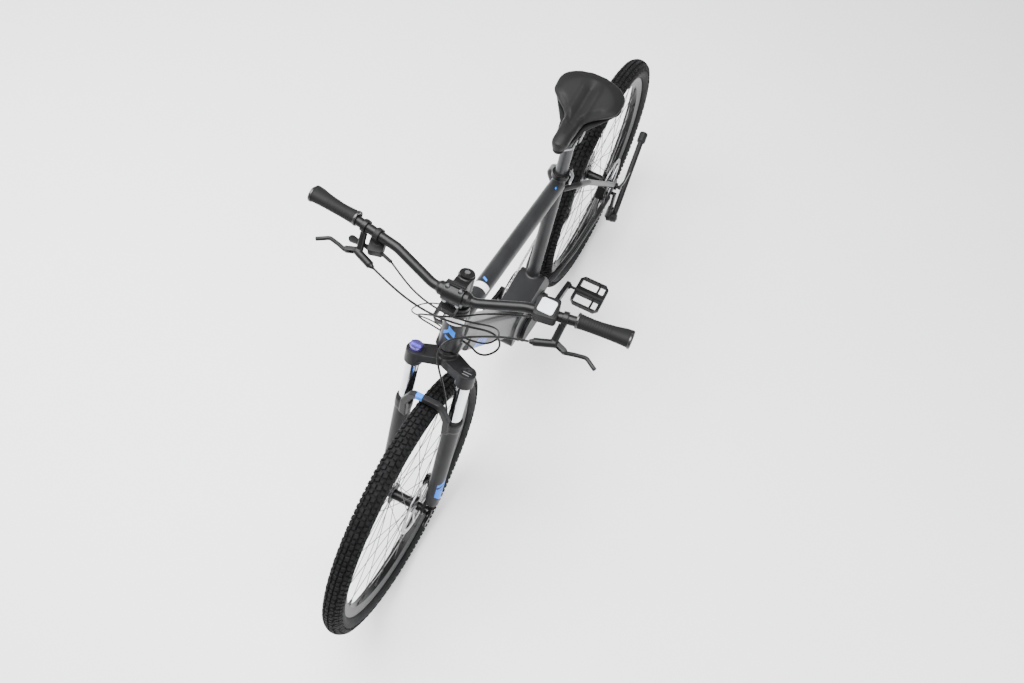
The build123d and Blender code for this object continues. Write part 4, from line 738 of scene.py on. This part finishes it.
def hoseLine(name, route):
    # the points of a quadratic spline that has the route as its control points
    curve = bpy.data.curves.new(name + "Line", "CURVE")
    curve.dimensions = "3D"
    spline = curve.splines.new("NURBS")
    spline.points.add(len(route) - 1)
    spline.points.foreach_set("co", np.column_stack([route, np.ones(len(route))]).ravel())
    spline.order_u = 3
    spline.use_endpoint_u = True
    spline.resolution_u = 10
    line = bpy.data.objects.new(name + "Line", curve)
    mesh = bpy.data.meshes.new_from_object(line)
    bpy.data.objects.remove(line)
    return meshPoints(mesh)


for name, run in hoseRuns.items():
    line = hoseLine(name, np.array(run["route"], float))
    points, faces = tubeAlong(line, run["radius"])
    crosses = len(run["bodies"]) == 2  # it bends between the bodies at its two ends
    hose = makePiece(name, points, faces, material["hose"], None if crosses else run["bodies"][0],
                     (run["node"],))
    fixNormals(hose)
    if crosses:
        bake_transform(hose, *run["bodies"], start=tuple(line[-1]), end=tuple(line[0]))
print("hoses made")

# castings and welded parts: a copy of the node, remeshed finely and eased so that its corners blend
# rounds: passes of easing; swell: how far the eased skin is pushed back out
castings = {
    "main_frame": {"voxel": 0.0022, "rounds": 6, "finish": "paint"},
    "rear_triangle": {"voxel": 0.0018, "rounds": 5, "finish": "paint"},
    "fork_lowers": {"voxel": 0.0018, "rounds": 6, "finish": "forkPaint"},
    "fork_crown": {"voxel": 0.0015, "rounds": 7, "finish": "forkPaint"},
    "motor": {"voxel": 0.0018, "rounds": 4, "finish": "motor"},
    "motor_covers": {"voxel": 0.0014, "rounds": 4, "finish": "plastic"},
    "battery": {"voxel": 0.0020, "rounds": 3, "finish": "battery"},
    "stem": {"voxel": 0.0011, "rounds": 3, "finish": "blackAlloy"},
    "stem_faceplate": {"voxel": 0.0009, "rounds": 3, "finish": "blackAlloy"},
    "brake_lever_bodies": {"voxel": 0.0009, "rounds": 5, "finish": "blackAlloy"},
    "left_brake_lever": {"voxel": 0.0008, "rounds": 5, "swell": 0.0012, "finish": "blackAlloy"},
    "right_brake_lever": {"voxel": 0.0008, "rounds": 5, "swell": 0.0012, "finish": "blackAlloy"},
    "shifter": {"voxel": 0.0009, "rounds": 4, "finish": "plastic"},
    "display": {"voxel": 0.0010, "rounds": 5, "finish": "plastic"},
    "rear_derailleur": {"voxel": 0.0010, "rounds": 3, "finish": "blackAlloy"},
    "rear_brake_caliper": {"voxel": 0.0009, "rounds": 4, "finish": "blackAlloy"},
    "front_brake_caliper": {"voxel": 0.0009, "rounds": 4, "finish": "blackAlloy"},
    "crank_arms": {"voxel": 0.0013, "rounds": 5, "swell": 0.0006, "finish": "blackAlloy"},
    "kickstand": {"voxel": 0.0014, "rounds": 5, "swell": 0.0030, "finish": "forkPaint"},
    "seat_collar": {"voxel": 0.0009, "rounds": 3, "finish": "blackAlloy"},
    "saddle_shell": {"voxel": 0.0018, "rounds": 3, "finish": "plastic"},
    "seatpost": {"voxel": 0.0011, "rounds": 2, "finish": "postGrey"},
}


def bodyOf(node):
    return body_of(nodes[node])[0]


def makeCasting(node, look):
    mesh = nodes[node].data.copy()
    merged = bmesh.new()
    merged.from_mesh(mesh)
    bmesh.ops.remove_doubles(merged, verts=merged.verts, dist=1e-6)
    merged.to_mesh(mesh)
    merged.free()
    words = node.split("_")
    piece = bpy.data.objects.new(words[0] + "".join(word.title() for word in words[1:]) + "Casting", mesh)
    bpy.context.scene.collection.objects.link(piece)
    remesh = piece.modifiers.new("evenSkin", "REMESH")
    remesh.mode, remesh.voxel_size = "VOXEL", look["voxel"]
    ease = piece.modifiers.new("ease", "SMOOTH")
    ease.factor, ease.iterations = 0.5, look["rounds"]
    applyModifiers(piece)
    if "swell" in look:
        normals = np.empty(len(piece.data.vertices) * 3)
        piece.data.vertices.foreach_get("normal", normals)
        setPoints(piece, pointsOf(piece) + normals.reshape(-1, 3) * look["swell"])
    piece.data.materials.clear()
    piece.data.materials.append(material[look["finish"]])
    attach(piece, bodyOf(node))
    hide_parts(node)
    return piece


for node, look in castings.items():
    made = makeCasting(node, look)
    print("casting", node, len(made.data.polygons))


# small parts: the display's glass and the fork's seals
displayGlassLook = {"inset": 0.006, "corner": 0.006, "sunk": 0.0006, "proud": 0.0004, "rim": 0.0006,
                    "cornerSteps": 6}
dustSealLook = {"ahead": 0.031, "aside": 0.065, "up": 0.330, "around": 36,
                "profile": ((-0.002, 0.0163), (-0.002, 0.0212), (0.004, 0.0208), (0.0065, 0.0185),
                            (0.0075, 0.0163))}


def roundedPlate(low, high, corner, rim, cornerSteps):
    # an outline with round corners in X and Y, carried up Z and drawn in at the top by the rim
    middle = (np.array(low) + np.array(high)) / 2
    half = (np.array(high) - np.array(low)) / 2
    count = 4 * cornerSteps
    turn = np.linspace(0, 2 * math.pi, count, endpoint=False) + math.pi / count
    wayX, wayY = np.sign(np.cos(turn)), np.sign(np.sin(turn))
    levels = [(low[2], 0.0), (high[2] - rim, 0.0), (high[2], rim)]
    rings = [np.stack([middle[0] + wayX * (half[0] - corner) + (corner - inset) * np.cos(turn),
                       middle[1] + wayY * (half[1] - corner) + (corner - inset) * np.sin(turn),
                       np.full(count, z)], axis=-1) for z, inset in levels]
    faces = [tuple(face) for face in gridFaces(3, count, False, True)]
    faces += [tuple(range(count))[::-1], tuple(range(2 * count, 3 * count))]
    return np.concatenate(rings), faces


def makeDisplayGlass():
    look = displayGlassLook
    cad = pointsOf(nodes["display"])
    top = cad[cad[:, 2] > cad[:, 2].max() - 0.0006]
    low, high = top.min(axis=0), top.max(axis=0)
    plate = roundedPlate((low[0] + look["inset"], low[1] + look["inset"], high[2] - look["sunk"]),
                         (high[0] - look["inset"], high[1] - look["inset"], high[2] + look["proud"]),
                         look["corner"], look["rim"], look["cornerSteps"])
    glass = makePiece("displayGlass", *plate, material["screen"], "steering", smooth=False)
    fixNormals(glass)


def makeDustSeals():
    # dark wiper seals that ride on the lower legs, round the stanchions
    seals = [turned(atSteer(dustSealLook["ahead"], side * dustSealLook["aside"], dustSealLook["up"]),
                    steerUp, dustSealLook["profile"], dustSealLook["around"]) for side in (1, -1)]
    piece = makePiece("dustSeals", *joinParts(seals), material["rubber"], "lowers")
    fixNormals(piece)


makeDisplayGlass()
makeDustSeals()
print("small parts made")

# pedals: rows of short grip pins along the front and rear edges, top and bottom
pedalPins = {"count": 6, "radius": 0.0016, "stand": 0.0016, "edge": 0.004, "endGap": 0.016, "around": 8,
             "tip": 0.0002}
pinProfile = ((0.0, pedalPins["tip"]), (0.0, pedalPins["radius"]),
              (pedalPins["stand"] * 1.7, pedalPins["radius"] * 0.8),
              (pedalPins["stand"] * 1.9, pedalPins["tip"]))  # along and radius
for name in ("left", "right"):
    low, high = (np.array(corner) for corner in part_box(name + "_pedal"))
    pins = []
    for x in (low[0] + pedalPins["edge"], high[0] - pedalPins["edge"]):
        for y in np.linspace(low[1] + pedalPins["endGap"], high[1] - pedalPins["endGap"], pedalPins["count"]):
            for z, up in ((high[2], 1), (low[2], -1)):
                foot = (x, y, z - pedalPins["stand"] * up)
                pins.append(turned(foot, (0, 0, up), pinProfile, pedalPins["around"]))
    piece = makePiece(name + "PedalPins", *joinParts(pins), material["darkSteel"], bodyOf(name + "_pedal"))
    fixNormals(piece)
print("pedal pins made")


# stage, lights and camera
floorPaint, floorTree, floorShader = newMaterial("paleFloor")
floorLook = {"patches": 1.5, "dark": (0.86, 0.86, 0.87), "light": (0.90, 0.90, 0.90), "roughness": 0.55,
             "halfWidth": 30}
floorTone = blendColours(floorTree, noise(floorTree, objectPlace(floorTree), floorLook["patches"]),
                         floorLook["dark"], floorLook["light"])
floorTree.links.new(floorTone, floorShader.inputs["Base Color"])
floorShader.inputs["Roughness"].default_value = floorLook["roughness"]
floorMesh = bpy.data.meshes.new("floor")
far = floorLook["halfWidth"]
floorMesh.from_pydata([(-far, -far, 0), (far, -far, 0), (far, far, 0), (-far, far, 0)], [], [(0, 1, 2, 3)])
floorMesh.materials.append(floorPaint)
floor = bpy.data.objects.new("floor", floorMesh)
bpy.context.scene.collection.objects.link(floor)
floor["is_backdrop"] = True

world = bpy.data.worlds.new("studio")
bpy.context.scene.world = world
world.use_nodes = True
world.node_tree.nodes["Background"].inputs["Color"].default_value = (1.0, 1.0, 1.0, 1.0)
world.node_tree.nodes["Background"].inputs["Strength"].default_value = 0.7
lamps = {
    "overheadLight": {"place": (0.3, -0.6, 3.6), "size": 2.6, "power": 400.0},
    "leftLight": {"place": (1.2, 3.0, 2.2), "size": 2.2, "power": 120.0},
    "rightLight": {"place": (0.6, -3.0, 2.4), "size": 2.2, "power": 120.0},
}
for name, lamp in lamps.items():
    data = bpy.data.lights.new(name, "AREA")
    data.size, data.energy = lamp["size"], lamp["power"]
    light = bpy.data.objects.new(name, data)
    light.location = lamp["place"]
    light.rotation_euler = (Vector((0, 0, 0.5)) - Vector(lamp["place"])).to_track_quat("-Z", "Y").to_euler()
    bpy.context.scene.collection.objects.link(light)

cameraView = {"place": (1.2722, 0.4889, 2.8494), "forward": (-0.43753, -0.16131, -0.88461),
              "up": (-0.77995, -0.42148, 0.46262), "lens": 35.66}
cameraData = bpy.data.cameras.new("camera")
cameraData.lens, cameraData.sensor_width = cameraView["lens"], 36.0
camera = bpy.data.objects.new("camera", cameraData)
forward, up = unit(cameraView["forward"]), unit(cameraView["up"])
turn = Matrix([np.cross(forward, up), up, -forward]).transposed().to_4x4()
camera.matrix_world = Matrix.Translation(cameraView["place"]) @ turn
bpy.context.scene.collection.objects.link(camera)
bpy.context.scene.camera = camera

low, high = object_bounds()
